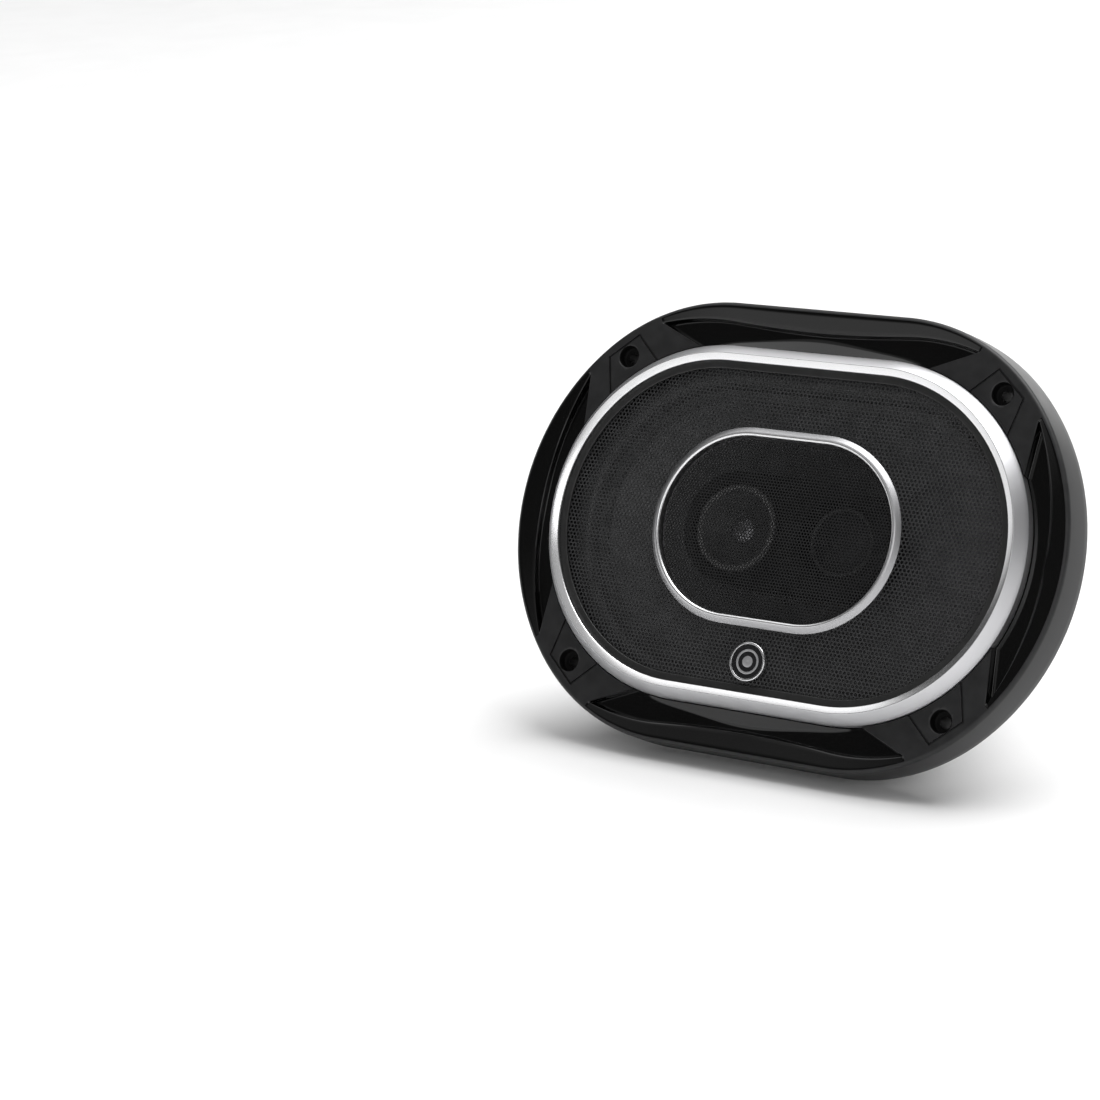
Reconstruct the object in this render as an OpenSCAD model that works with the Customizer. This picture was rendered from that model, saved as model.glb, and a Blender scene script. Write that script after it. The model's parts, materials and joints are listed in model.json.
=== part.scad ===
// Oval three-way coaxial car speaker with its grille tray, leaning back on its rim and magnet boot.
// Every piece is drawn in the speaker's own frame and then leaned by placed():
//   x along the long axis, y up the face, z out of the face, z = 0 at the mounting plane.

/* [Opening] */
// Length of the straight part of the oval opening
oval_flat = 72; // [60:1:88]
// Radius of the visible mesh opening
mesh_r = 67; // [56:0.5:80]
// Width of the silver trim ring
ring_w = 7.5; // [6.5:0.25:9]
// Height of the trim ring's crest above the screw panels
ring_rise = 6; // [5:0.5:8]
// Thickness of the perforated mesh
mesh_t = 0.8; // [0.6:0.1:1]
// Height of the mesh dome in its middle
mesh_dome = 1.6; // [1:0.1:3]

/* [Grille tray] */
// From the trim ring to the tray's outer edge, at each end
end_margin = 16.5; // [14:0.5:20]
// From the trim ring to the tray's outer edge, at the top and bottom
side_margin = 18.5; // [16:0.5:22]
// Height of the screw panels above the mounting plane
tray_rise = 18; // [15:0.5:22]
// Wall of the tray
tray_wall = 2.6; // [2:0.1:3]
// Width of the satin land around the edge
land_w = 10; // [8:0.5:12]
// Depth of the polished channels
channel_depth = 4; // [3:0.5:5]

/* [Screw holes] */
// From the trim ring's edge out to each screw hole
hole_out = 8.2; // [7.8:0.1:9]
// Angle of each screw hole around the end of the oval
hole_angle = 52; // [48:1:56]
// Diameter of the screw holes
hole_d = 4.8; // [4:0.1:5.4]

/* [Basket] */
// From the trim ring's edge out to the edge of the basket's flange
flange_out = 10; // [9:0.5:11]
// Thickness of the basket's flange
flange_t = 2; // [1.6:0.1:2.4]
// Thickness of the conical basket wall, measured across the axis
basket_wall = 2.2; // [1.8:0.1:2.6]
// Depth from the mounting plane to the motor's seat
basket_depth = 42; // [36:1:51]

/* [Motor] */
// Thickness of the top plate
top_plate_t = 6; // [5:0.5:8]
// Thickness of the ferrite magnet ring
magnet_t = 18; // [15:0.5:22]
// Radius of the magnet ring
magnet_r = 50; // [45:0.5:55]
// Thickness of the back plate
back_plate_t = 6.4; // [5.4:0.2:8]
// Extra radius of the boot at its front
boot_flare = 3; // [1:0.5:4]
// Chamfer around the back of the boot
boot_chamfer = 3; // [2:0.5:4]

/* [Moving parts] */
// Radius of the voice coil former, outside
former_r = 19; // [16:0.1:23]
// Clearance between the coil and the gap's walls
coil_gap = 0.6; // [0.5:0.05:0.8]
// Free travel of the cone each way
cone_travel = 4.5; // [3.5:0.5:5]
// Width of the surround's roll
roll_w = 12; // [10:0.5:13]
// Wall of the cone
cone_t = 0.9; // [0.7:0.1:1.2]

/* [Inner ring and badge] */
// Length of the straight part of the inner ring
inner_flat = 33; // [27:1:40]
// Radius of the inner ring's opening
inner_r = 37; // [33:0.5:39]
// Width of the inner ring
inner_ring_w = 3.8; // [3:0.2:5]
// Diameter of the round badge
badge_d = 16.5; // [12:0.5:18]

/* [Drivers in the middle] */
// Radius of the midrange frame
mid_r = 21; // [17.5:0.5:25.5]
// Radius of the tweeter's dome
dome_r = 12.5; // [10:0.5:14]
// Height of the driver pod's face above the mounting plane
pod_face = 13; // [11:0.5:13]
// Depth of the driver pod
pod_depth = 17; // [15:0.5:20]

/* [Hidden] */
$fn = 96;
fit = 0.1;            // gap between pieces that seat on each other
steps = 14;           // steps in a quarter of an oval
lap = 0.5;            // overlap where shapes of one piece join

// Heights along the speaker's axis
rim_back = 0.6;                                  // back edge of the tray's wall
deck_z = tray_rise - channel_depth - 2;          // underside of the tray's deck
ledge_z = deck_z;                                // seat of the lift-off grille
crest_z = tray_rise + ring_rise;                 // crest of the trim ring
mesh_edge_z = crest_z - 4.2;                     // mesh face at its outer edge
mesh_in_z = mesh_edge_z + mesh_dome;             // mesh face at the inner ring
base_t = 2;                                      // basket's bottom disc
plate_top = -basket_depth - base_t;
plate_bottom = plate_top - top_plate_t;
magnet_bottom = plate_bottom - magnet_t;
yoke_bottom = magnet_bottom - back_plate_t;
boot_end_t = 5;                                  // closed end of the boot
label_inset = 1.2;                               // label's recess in the boot
boot_back = yoke_bottom - boot_end_t;
boot_front = -basket_depth + 0.4;

// Radii of the oval rings, from the opening outwards
ring_out_r = mesh_r + ring_w;
tray_in_r = ring_out_r + 0.5;
flange_r = tray_in_r + flange_out;
ledge_r = mesh_r + 3.3;
seat_r = mesh_r + 4;
skirt_w = 3.5;
roll_in_r = seat_r - 0.5 - roll_w;
surround_t = 0.5;
inner_out_r = inner_r + inner_ring_w;
driver_x = mid_r + 3;                            // each small driver's distance from the centre

// Round pieces behind the basket follow the magnet
base_r = magnet_r + 3;
boot_r = magnet_r + 5.5;
label_r = boot_r - 12;

// The tray's outline: its corners are rounder than its ends
corner_step = 9.5;                               // tray's half height less its corner radius
flat_step = 3.5;                                 // extra half length of the tray's straight edges
tray_h = 2 * (tray_in_r + side_margin);
tray_w = 2 * (tray_in_r + end_margin) + oval_flat;

// The way the speaker stands: on the back edge of its rim and the corner of its boot
lean = atan((tray_h / 2 - boot_r) / (rim_back - boot_back - boot_chamfer));
stand_z = tray_h / 2 * cos(lean) - rim_back * sin(lean);
shoulder = [[0, tray_rise - 5.5], [0.9, tray_rise - 3.1], [3.4, tray_rise - 1.1], [8, tray_rise]];
function lie_y(v, z) = v * sin(lean) - z * cos(lean);
front_y = min(
    min([for (p = shoulder) lie_y(-(tray_h / 2 - p[0]), p[1])]),
    lie_y(-(mesh_r + 3.2), crest_z),
    lie_y(-ring_out_r + 3.4, crest_z - 0.6)
);
back_y = max(lie_y(boot_r, boot_back + boot_chamfer), lie_y(boot_r - boot_chamfer, boot_back));
stand_y = -(front_y + back_y) / 2;

module placed() {
    translate([0, stand_y, stand_z]) rotate([90 - lean, 0, 0]) children();
}

// ---- Ovals: [half width, half height, half of the straight, corner radius] ----
tray = [tray_w / 2, tray_h / 2, oval_flat / 2 + flat_step, tray_h / 2 - corner_step];
function track(r, flat = oval_flat) = [flat / 2 + r, r, flat / 2, r];
function disc(r) = [r, r, 0.1, r - 0.1];
function end_gap(o) = o[0] - o[2] - o[3];
function end_x(o) = end_gap(o) < 0.01
    ? o[2]
    : (pow(o[0] - o[3], 2) - pow(o[2], 2) - pow(o[1] - o[3], 2)) / (2 * end_gap(o));
function join_angle(o) = end_gap(o) < 0.01 ? 0 : atan2(o[1] - o[3], o[2] - end_x(o));
function quarter_point(o, d, k) =
    let (t = 90 * k / steps, c = end_x(o))
    t < join_angle(o)
        ? [c + (o[0] - c + d) * cos(t), (o[0] - c + d) * sin(t)]
        : [o[2] + (o[3] + d) * cos(t), o[1] - o[3] + (o[3] + d) * sin(t)];
function outline(o, d = 0) = [
    for (k = [0:steps]) quarter_point(o, d, k),
    for (k = [steps:-1:0]) let (p = quarter_point(o, d, k)) [-p[0], p[1]],
    for (k = [1:steps]) let (p = quarter_point(o, d, k)) [-p[0], -p[1]],
    for (k = [steps:-1:1]) let (p = quarter_point(o, d, k)) [p[0], -p[1]]
];
function at(points, z) = [for (p = points) [p[0], p[1], z]];
function mix(a, b, t) = [for (i = [0:len(a) - 1]) a[i] * (1 - t) + b[i] * t];

// A closed ring swept round the axis: each entry is one loop of points, in order around the section
module loft_ring(loops) {
    n = len(loops[0]);
    m = len(loops);
    polyhedron(
        points = [for (l = loops) each l],
        faces = [for (j = [0:m - 1], i = [0:n - 1])
            let (a = j * n + i, b = ((j + 1) % m) * n + i,
                 c = ((j + 1) % m) * n + (i + 1) % n, d = j * n + (i + 1) % n)
            each [[a, b, c], [a, c, d]]]
    );
}

// A closed body: loops from its lowest to its highest, with a flat cap at each end
module loft_body(loops) {
    n = len(loops[0]);
    m = len(loops);
    polyhedron(
        points = [for (l = loops) each l],
        faces = concat(
            [[for (i = [0:n - 1]) i], [for (i = [n - 1:-1:0]) (m - 1) * n + i]],
            [for (j = [0:m - 2], i = [0:n - 1])
                let (a = j * n + i, b = (j + 1) * n + i,
                     c = (j + 1) * n + (i + 1) % n, d = j * n + (i + 1) % n)
                each [[a, b, c], [a, c, d]]])
    );
}

module oval_plate(outer, inner, z0, z1) {
    translate([0, 0, z0]) linear_extrude(z1 - z0) difference() {
        polygon(outer);
        polygon(inner);
    }
}

module tube(r_out, r_in, z0, z1) {
    translate([0, 0, z0]) difference() {
        cylinder(r = r_out, h = z1 - z0);
        translate([0, 0, -1]) cylinder(r = r_in, h = z1 - z0 + 2);
    }
}

module four_corners() {
    for (sx = [-1, 1], sy = [-1, 1]) scale_sign(sx, sy) children();
}

module scale_sign(sx, sy) {
    mirror([sx < 0 ? 1 : 0, 0, 0]) mirror([0, sy < 0 ? 1 : 0, 0]) children();
}

function polar(r, a) = [oval_flat / 2 + r * cos(a), r * sin(a)];
hole = polar(tray_in_r + hole_out, hole_angle);

// ---- Basket ----
skirt_z = -3;                                    // where the straight skirt meets the cone
wall_top = at(outline(track(seat_r + skirt_w)), skirt_z);
wall_base = at(outline(disc(base_r)), -basket_depth);
wall_top_in = at(outline(track(seat_r + skirt_w - basket_wall)), skirt_z);
wall_base_in = at(outline(disc(base_r - basket_wall)), -basket_depth);
slot_r = hole_d / 2 + 0.3;                       // half width of the ears' slots
slot_run = 2;                                    // each slot's centres lie this far out each way
pin_hole_r = 1.7;

module basket_flange() {
    ear_r = flange_r + 4.5;
    linear_extrude(flange_t) difference() {
        union() {
            polygon(outline(track(flange_r)));
            four_corners() polygon([
                polar(seat_r + 2, hole_angle - 14), polar(flange_r - 0.6, hole_angle - 16),
                polar(ear_r, hole_angle - 3), polar(ear_r, hole_angle + 3),
                polar(flange_r - 0.6, hole_angle + 16), polar(seat_r + 2, hole_angle + 14)
            ]);
        }
        polygon(outline(track(seat_r)));
        four_corners() {
            translate(hole) rotate(hole_angle + 90) {
                translate([-slot_run, 0]) circle(r = slot_r);
                translate([slot_run, 0]) circle(r = slot_r);
                square([2 * slot_run, 2 * slot_r], center = true);
            }
            translate(polar(flange_r - 4.5, hole_angle + 8.5)) circle(r = pin_hole_r);
        }
    }
}

// A window tapering from its outer end to its inner end
module window(outer, inner, outer_w, inner_w) {
    d = inner - outer;
    n = [-d[1], d[0]] / norm(d);
    translate([0, 0, -basket_depth + 2.5]) linear_extrude(basket_depth - 8)
        polygon([outer + n * outer_w / 2, outer - n * outer_w / 2,
                 inner - n * inner_w / 2, inner + n * inner_w / 2]);
}

// The windows follow the wall: out is its foot on the skirt, in_r the edge of the bottom disc
out_r = seat_r + skirt_w;
half_flat = oval_flat / 2;
module basket_windows() {
    for (sy = [-1, 1]) scale_sign(1, sy) {
        window([0, out_r - 2.5], [0, base_r + 4], 13, 8);
        for (sx = [-1, 1]) scale_sign(sx, 1) {
            window([half_flat - 5, out_r - 2.6], [21, base_r + 1.5], 11, 7);
            window(polar(out_r - 5.5, 70) , [41, base_r - 12.5], 12, 8);
            window([half_flat + out_r - 10, 25], [half_flat + out_r - 27.5, 37], 3.5, 11);
        }
    }
    for (sx = [-1, 1]) scale_sign(sx, 1) {
        window([half_flat + out_r - 5, 0], [half_flat + out_r - 18, 0], 20, 18);
        window([base_r + 31, 0], [base_r + 17.5, 0], 44, 54);
    }
}

spider_seat_z = -basket_depth + 6;
spider_seat_r = base_r - 13;
module basket() {
    color([0.07, 0.07, 0.075]) placed() difference() {
        union() {
            basket_flange();
            oval_plate(outline(track(out_r)), outline(track(seat_r)), skirt_z - lap, lap);
            loft_ring([
                wall_base, mix(wall_base, wall_top, 0.5), wall_top,
                wall_top_in, mix(wall_base_in, wall_top_in, 0.5), wall_base_in
            ]);
            tube(base_r, former_r + coil_gap + 2.2, plate_top, -basket_depth + lap);
            tube(spider_seat_r + 4, spider_seat_r, -basket_depth - lap, spider_seat_z);
        }
        basket_windows();
    }
}

module front_gasket() {
    color([0.1, 0.1, 0.1]) placed()
        oval_plate(outline(track(seat_r + 6.5)), outline(track(seat_r + 0.5)),
                   flange_t + surround_t + 0.05, flange_t + 3);
}

// ---- Motor ----
gap_r = former_r + coil_gap + 0.7;               // hole of the top plate
pole_r = former_r - 0.3 - coil_gap;
spigot_r = 3;
screw_r = 2;

module top_plate() {
    color([0.55, 0.55, 0.57]) placed() tube(magnet_r - 2, gap_r, plate_bottom, plate_top);
}

module magnet_ring() {
    color([0.16, 0.16, 0.17]) placed() tube(magnet_r, gap_r + 6, magnet_bottom, plate_bottom);
}

module back_plate() {
    color([0.55, 0.55, 0.57]) placed() difference() {
        union() {
            translate([0, 0, yoke_bottom]) cylinder(r = magnet_r - 2, h = back_plate_t);
            translate([0, 0, yoke_bottom]) cylinder(r = pole_r, h = plate_top - yoke_bottom);
        }
        translate([0, 0, plate_top - 14]) cylinder(r = spigot_r + fit, h = 15);
        translate([0, 0, yoke_bottom - 1]) cylinder(r = screw_r + fit, h = 40);
        translate([0, 0, yoke_bottom - 1]) cylinder(r = 4.2, h = 4);
    }
}

module magnet_boot() {
    lip_r = boot_r + boot_flare;
    wide_r = base_r + 1.3;
    inner_z = plate_top - 0.6;
    color([0.09, 0.09, 0.09]) placed() rotate_extrude() polygon([
        [0, boot_back + label_inset], [label_r + 0.8, boot_back + label_inset],
        [label_r + 0.8, boot_back], [boot_r - boot_chamfer, boot_back],
        [boot_r, boot_back + boot_chamfer], [lip_r, boot_front - 3],
        [lip_r - 0.8, boot_front], [wide_r, boot_front], [wide_r, inner_z],
        [magnet_r + fit, inner_z], [magnet_r + fit, yoke_bottom - fit], [0, yoke_bottom - fit]
    ]);
}

module rear_label() {
    color([0.36, 0.32, 0.42]) placed()
        translate([0, 0, boot_back + label_inset - 0.4]) cylinder(r = label_r, h = 0.4);
}

module post_screw() {
    color([0.7, 0.7, 0.72]) placed() {
        translate([0, 0, yoke_bottom + 0.6]) cylinder(r = 3.9, h = 2.4);
        translate([0, 0, yoke_bottom + 2]) cylinder(r = screw_r, h = plate_top - 6 - yoke_bottom - 2);
    }
}

// ---- Cone, surround and suspension ----
cone_edge_z = 2.2;
cone_neck_z = 12 - basket_depth;
cone_r = roll_in_r + 0.2;
module cone() {
    top = at(outline(track(cone_r)), cone_edge_z);
    neck = at(outline(disc(former_r + 0.25)), cone_neck_z);
    low_edge = at(outline(track(cone_r)), cone_edge_z - cone_t);
    low_neck = at(outline(disc(former_r + 0.25)), cone_neck_z - cone_t);
    sag = [0, 0, -2];
    color([0.3, 0.3, 0.31]) placed() loft_ring([
        low_neck, [for (p = mix(low_neck, low_edge, 0.5)) p + sag], low_edge,
        top, [for (p = mix(top, neck, 0.5)) p + sag], neck
    ]);
}

// Half roll between the cone's edge and the flange, with a lip at each side
module surround() {
    roll_mid_r = (roll_in_r + seat_r - 0.5) / 2;
    rr = roll_w / 2;
    base = flange_t + 0.02;
    inner_base = cone_edge_z + 0.02;
    arc = 6;
    color([0.05, 0.05, 0.055]) placed() loft_ring(concat(
        [at(outline(track(seat_r + 5)), base), at(outline(track(seat_r + 5)), base + surround_t),
         at(outline(track(seat_r + 0.3)), base + surround_t)],
        [for (k = [0:arc]) let (a = 10 + 160 * k / arc)
            at(outline(track(roll_mid_r + rr * cos(a))), base + surround_t + rr * sin(a))],
        [at(outline(track(roll_in_r - 4)), inner_base + surround_t),
         at(outline(track(roll_in_r - 4)), inner_base)],
        [for (k = [arc:-1:0]) let (a = 4 + 172 * k / arc)
            at(outline(track(roll_mid_r + (rr - surround_t) * cos(a))),
               inner_base + surround_t * 0.4 + (rr - surround_t) * sin(a))],
        [at(outline(track(seat_r + 0.2)), base)]
    ));
}

coil_z = (plate_top + plate_bottom) / 2;
coil_h = top_plate_t + 2 * cone_travel;
module voice_coil_former() {
    color([0.75, 0.6, 0.35]) placed()
        tube(former_r, former_r - 0.3, coil_z - coil_h / 2 - 1, cone_neck_z + 3);
}

module voice_coil_winding() {
    color([0.7, 0.35, 0.15]) placed()
        tube(former_r + 0.7, former_r + 0.02, coil_z - coil_h / 2, coil_z + coil_h / 2);
}

// Corrugated cloth disc: a cosine wave that runs from the former to its seat
module spider() {
    r0 = former_r + 0.05;
    r1 = spider_seat_r + 3.5;
    waves = 4;
    n = 24;
    wave_h = 1.1;
    z0 = spider_seat_z + 0.02;
    t = 0.4;
    span = spider_seat_r - r0 - 2;
    function wave_z(k) = z0 + wave_h * (1 - cos(360 * waves * k / n)) / 2;
    color([0.75, 0.65, 0.3]) placed() rotate_extrude() polygon(concat(
        [[r1, z0], [r1, z0 + t]],
        [for (k = [n:-1:0]) [r0 + 1.5 + span * k / n, wave_z(k) + t]],
        [[r0, z0 + t], [r0, z0]],
        [for (k = [0:n]) [r0 + 1.5 + span * k / n, wave_z(k)]]
    ));
}

// ---- Pod with the two small drivers ----
pod_r = mid_r + 2.5;
pod_back = pod_face - pod_depth;
pod_floor = 2;
tweeter_r = dome_r + 6.5;
module pod_post() {
    color([0.12, 0.12, 0.12]) placed() difference() {
        union() {
            translate([0, 0, plate_top]) cylinder(r = 5.5, h = pod_back - plate_top);
            translate([0, 0, plate_top - 12]) cylinder(r = spigot_r, h = 12.5);
        }
        translate([0, 0, plate_top - 13]) cylinder(r = screw_r + 0.05, h = 9);
    }
}

module pod_housing() {
    color([0.08, 0.08, 0.08]) placed() difference() {
        translate([0, 0, pod_back]) linear_extrude(pod_depth) union() {
            translate([-driver_x, 0]) circle(r = pod_r);
            translate([driver_x, 0]) circle(r = pod_r);
            square([2 * driver_x, 2 * pod_r], center = true);
        }
        translate([-driver_x, 0, pod_back + pod_floor]) cylinder(r = mid_r + fit, h = pod_depth);
        translate([driver_x, 0, pod_back + pod_floor]) cylinder(r = tweeter_r + fit, h = pod_depth);
    }
}

module at_midrange() {
    placed() translate([-driver_x, 0, 0]) children();
}

module at_tweeter() {
    placed() translate([driver_x, 0, 0]) children();
}

mid_coil_r = 6;
mid_magnet_h = 5;
mid_magnet_z = pod_back + pod_floor + 0.05;
mid_gap_z = mid_magnet_z + mid_magnet_h;
mid_cone_r = mid_r - 5.5;
module midrange_frame() {
    color([0.1, 0.1, 0.1]) at_midrange() rotate_extrude() polygon([
        [10.2, mid_gap_z], [10.2, mid_gap_z + 1.2], [mid_r - 2.4, mid_gap_z + 3],
        [mid_r - 2.4, pod_face - 1.6], [mid_r - 1.6, pod_face], [mid_r, pod_face],
        [mid_r, mid_gap_z + 2], [mid_r - 1, mid_gap_z]
    ]);
}

module midrange_magnet() {
    color([0.2, 0.2, 0.2]) at_midrange() difference() {
        translate([0, 0, mid_magnet_z]) cylinder(r = 10, h = mid_magnet_h);
        tube(mid_coil_r + 0.6, mid_coil_r - 0.8, mid_magnet_z + 1.2, mid_gap_z + 1);
    }
}

module midrange_coil() {
    color([0.7, 0.35, 0.15]) at_midrange()
        tube(mid_coil_r + 0.2, mid_coil_r - 0.3, mid_magnet_z + 2.4, mid_gap_z + 1.6);
}

module midrange_cone() {
    z0 = mid_gap_z + 1.7;
    z1 = pod_face - 2.8;
    color([0.2, 0.2, 0.21]) at_midrange() rotate_extrude() polygon([
        [mid_coil_r - 0.4, z0], [mid_cone_r, z1], [mid_cone_r, z1 + 0.5], [mid_coil_r - 0.4, z0 + 0.6]
    ]);
}

module midrange_surround() {
    r0 = mid_cone_r + 0.05;
    r1 = mid_r - 2.5;
    z = pod_face - 2.8;
    c = (r0 + r1) / 2;
    color([0.05, 0.05, 0.05]) at_midrange() rotate_extrude() polygon(concat(
        [for (k = [0:6]) let (a = 180 * k / 6) [c + (r1 - c) * cos(a), z + 0.1 + 1.4 * sin(a)]],
        [for (k = [6:-1:0]) let (a = 180 * k / 6) [c + (r1 - c - 0.4) * cos(a), z + 1 * sin(a)]]
    ));
}

// Shallow dome: a slice of a sphere shell over a circle of radius r
module dome_shell(r, rise, z, t) {
    ball = (r * r + rise * rise) / (2 * rise);
    n = 8;
    top = asin(r / ball);
    translate([0, 0, z - ball + rise]) rotate_extrude() polygon(concat(
        [for (k = [0:n]) let (a = top * k / n) [ball * sin(a), ball * cos(a)]],
        [for (k = [n:-1:0]) let (a = top * k / n) [(ball - t) * sin(a), (ball - t) * cos(a)]]
    ));
}

module midrange_dust_cap() {
    color([0.16, 0.16, 0.17]) at_midrange() dome_shell(mid_coil_r - 0.5, 2, mid_gap_z + 2.1, 0.4);
}

tweeter_gap_z = pod_back + pod_floor + 8;
module tweeter_magnet() {
    color([0.5, 0.5, 0.52]) at_tweeter() difference() {
        translate([0, 0, pod_back + pod_floor + 0.05]) cylinder(r = dome_r + 3.5, h = 8 - 0.05);
        tube(dome_r + 0.4, dome_r - 1.2, tweeter_gap_z - 5, tweeter_gap_z + 1);
    }
}

module tweeter_coil() {
    color([0.7, 0.35, 0.15]) at_tweeter()
        tube(dome_r - 0.1, dome_r - 0.5, tweeter_gap_z - 3.5, tweeter_gap_z + 0.9);
}

module tweeter_dome() {
    color([0.12, 0.12, 0.13]) at_tweeter() dome_shell(dome_r, 4.2, tweeter_gap_z + 1.35, 0.35);
}

module tweeter_surround() {
    c = dome_r + 1.05;
    z = tweeter_gap_z + 1.25;
    color([0.06, 0.06, 0.06]) at_tweeter() rotate_extrude() polygon(concat(
        [for (k = [0:6]) let (a = 180 * k / 6) [c + 0.95 * cos(a), z + 1.1 * sin(a)]],
        [for (k = [6:-1:0]) let (a = 180 * k / 6) [c + 0.6 * cos(a), z - 0.1 + 0.8 * sin(a)]]
    ));
}

module tweeter_faceplate() {
    color([0.08, 0.08, 0.08]) at_tweeter() rotate_extrude() polygon([
        [dome_r + 2.1, tweeter_gap_z + 0.05], [dome_r + 2.1, tweeter_gap_z + 1.6],
        [dome_r + 4.6, pod_face], [tweeter_r, pod_face], [tweeter_r, tweeter_gap_z + 0.05]
    ]);
}

module crossover_capacitor() {
    color([0.15, 0.2, 0.35]) placed() translate([0, pod_r - 5.5, pod_back - 5.1])
        rotate([0, 90, 0]) cylinder(r = 4.5, h = 16, center = true);
}

// ---- Terminals on the back of the basket ----
post_x = base_r + 13.5;                          // riser of the bracket
shelf_z = -basket_depth - 5;
bracket_top = 17;
bracket_low = -29;
tab_x = post_x - 4.5;
wide_v = -19;
narrow_v = 4;
module basket_body() {
    loft_body([at(outline(disc(base_r + fit)), -basket_depth - 0.5),
               mix(at(outline(disc(base_r + fit)), -basket_depth),
                   at(outline(track(out_r + fit)), skirt_z), 0.5),
               at(outline(track(out_r + fit)), skirt_z)]);
}

module terminal_bracket() {
    color([0.1, 0.1, 0.1]) placed() difference() {
        union() {
            translate([post_x, bracket_low, shelf_z]) cube([2, bracket_top - bracket_low, 26]);
            translate([tab_x - 3.2, bracket_low, shelf_z])
                cube([post_x + 1 - tab_x + 3.2, bracket_top - bracket_low, 2]);
        }
        basket_body();
        for (v = [wide_v, narrow_v]) translate([tab_x, v, shelf_z - 1]) cylinder(r = 0.9, h = 5);
    }
}

// Spade tab: a foot on the shelf and a blade that points backwards
module spade(v, blade_w, blade_l) {
    placed() translate([tab_x, v, 0]) difference() {
        union() {
            translate([-2.6, -blade_w / 2, shelf_z - 0.85]) cube([5.4, blade_w, 0.8]);
            translate([2, -blade_w / 2, shelf_z - blade_l]) cube([0.8, blade_w, blade_l - 0.3]);
        }
        translate([0, 0, shelf_z - 2]) cylinder(r = 0.9, h = 4);
        translate([1, 0, shelf_z - blade_l + 3]) rotate([0, 90, 0]) cylinder(r = 0.9, h = 3);
    }
}

module terminal_tab_wide() {
    color([0.8, 0.8, 0.8]) spade(wide_v, 4.8, 11);
}

module terminal_tab_narrow() {
    color([0.8, 0.8, 0.8]) spade(narrow_v, 2.8, 10);
}

module terminal_rivets() {
    color([0.75, 0.75, 0.75]) for (v = [wide_v, narrow_v]) placed() translate([tab_x, v, shelf_z]) {
        translate([0, 0, -1.7]) cylinder(r = 1.5, h = 0.8);
        translate([0, 0, -1.6]) cylinder(r = 0.85, h = 4.2);
        translate([0, 0, 2.05]) cylinder(r = 1.5, h = 0.7);
    }
}

module solder_lugs() {
    color([0.8, 0.8, 0.8]) placed() for (v = [bracket_top + 0.05, bracket_low - 0.85])
        translate([tab_x - 3, v, shelf_z - 1]) cube([9, 0.8, 4.5]);
}

// Braided leads: a tube of six sides along a hand-chosen route from lug to cone
lead_r = 0.7;
lead_gap = 1.6;
cone_run = oval_flat / 2 + cone_r - former_r - 0.25;
function cone_back(x) = let (t = (x - former_r - 0.25) / cone_run)
    cone_neck_z + (cone_edge_z - cone_neck_z) * t - 4 * min(t, 1 - t) - cone_t;
lead_end_z = min(shelf_z + 26, cone_back(post_x - 14) - lead_gap);
lead_routes = [
    [[post_x - 2, bracket_top + 1.7, shelf_z + 2.5], [post_x + 1, bracket_top + 2.4, shelf_z + 8],
     [post_x + 6, bracket_top, shelf_z + 14], [post_x + 9, bracket_top - 3, shelf_z + 21],
     [post_x + 4, bracket_top - 5, shelf_z + 25], [post_x - 5, bracket_top - 7, shelf_z + 27.5],
     [post_x - 14, bracket_top - 8, lead_end_z]],
    [[post_x - 2, bracket_low - 1.7, shelf_z + 2.5], [post_x + 1, bracket_low - 2.6, shelf_z + 7],
     [post_x + 5, bracket_low + 3, shelf_z + 13], [post_x + 9, bracket_low + 14, shelf_z + 21],
     [post_x + 4, bracket_low + 17, shelf_z + 25], [post_x - 5, bracket_low + 19, shelf_z + 27.5],
     [post_x - 14, bracket_low + 20, lead_end_z]]
];
function unit(v) = v / norm(v);
function lead_frame(d) = let (s = unit(cross(d, [0, 1, 0.3]))) [s, unit(cross(s, d))];
module lead(route) {
    n = len(route);
    sides = 6;
    function run(i) = unit(route[min(i + 1, n - 1)] - route[max(i - 1, 0)]);
    loft_body([for (i = [0:n - 1]) let (f = lead_frame(run(i)))
        [for (k = [0:sides - 1])
            route[i] + lead_r * (f[0] * cos(360 * k / sides) + f[1] * sin(360 * k / sides))]]);
}

module tinsel_leads() {
    color([0.6, 0.35, 0.2]) placed() for (route = lead_routes) lead(route);
}

// ---- Grille tray ----
boss_r = 4.6;
sink_r = 4.7;
module tray_shell() {
    top = [for (p = shoulder) at(outline(tray, -p[0]), p[1])];
    loft_ring(concat(
        [at(outline(tray), rim_back)], top,
        [at(outline(track(tray_in_r)), tray_rise), at(outline(track(tray_in_r)), ledge_z),
         at(outline(track(ledge_r)), ledge_z), at(outline(track(ledge_r)), ledge_z - 2),
         at(outline(track(tray_in_r + 2)), ledge_z - 2), at(outline(track(tray_in_r + 3)), deck_z),
         at(outline(tray, -tray_wall), deck_z), at(outline(tray, -tray_wall), rim_back)]
    ));
}

// The bridge between two channels, around its screw hole
module bridge() {
    polygon([
        hole + [15.6, -30], hole + [17.4, -8.4], hole + [30, 6], hole + [10, 30],
        hole + [-12.9, 15.6], hole + [-29.2, 9], hole + [-40, -20], hole + [-5, -40]
    ]);
}

module channels() {
    translate([0, 0, tray_rise - channel_depth]) linear_extrude(channel_depth + 1) difference() {
        polygon(outline(tray, -land_w));
        polygon(outline(track(tray_in_r - 1)));
        four_corners() bridge();
    }
}

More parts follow.
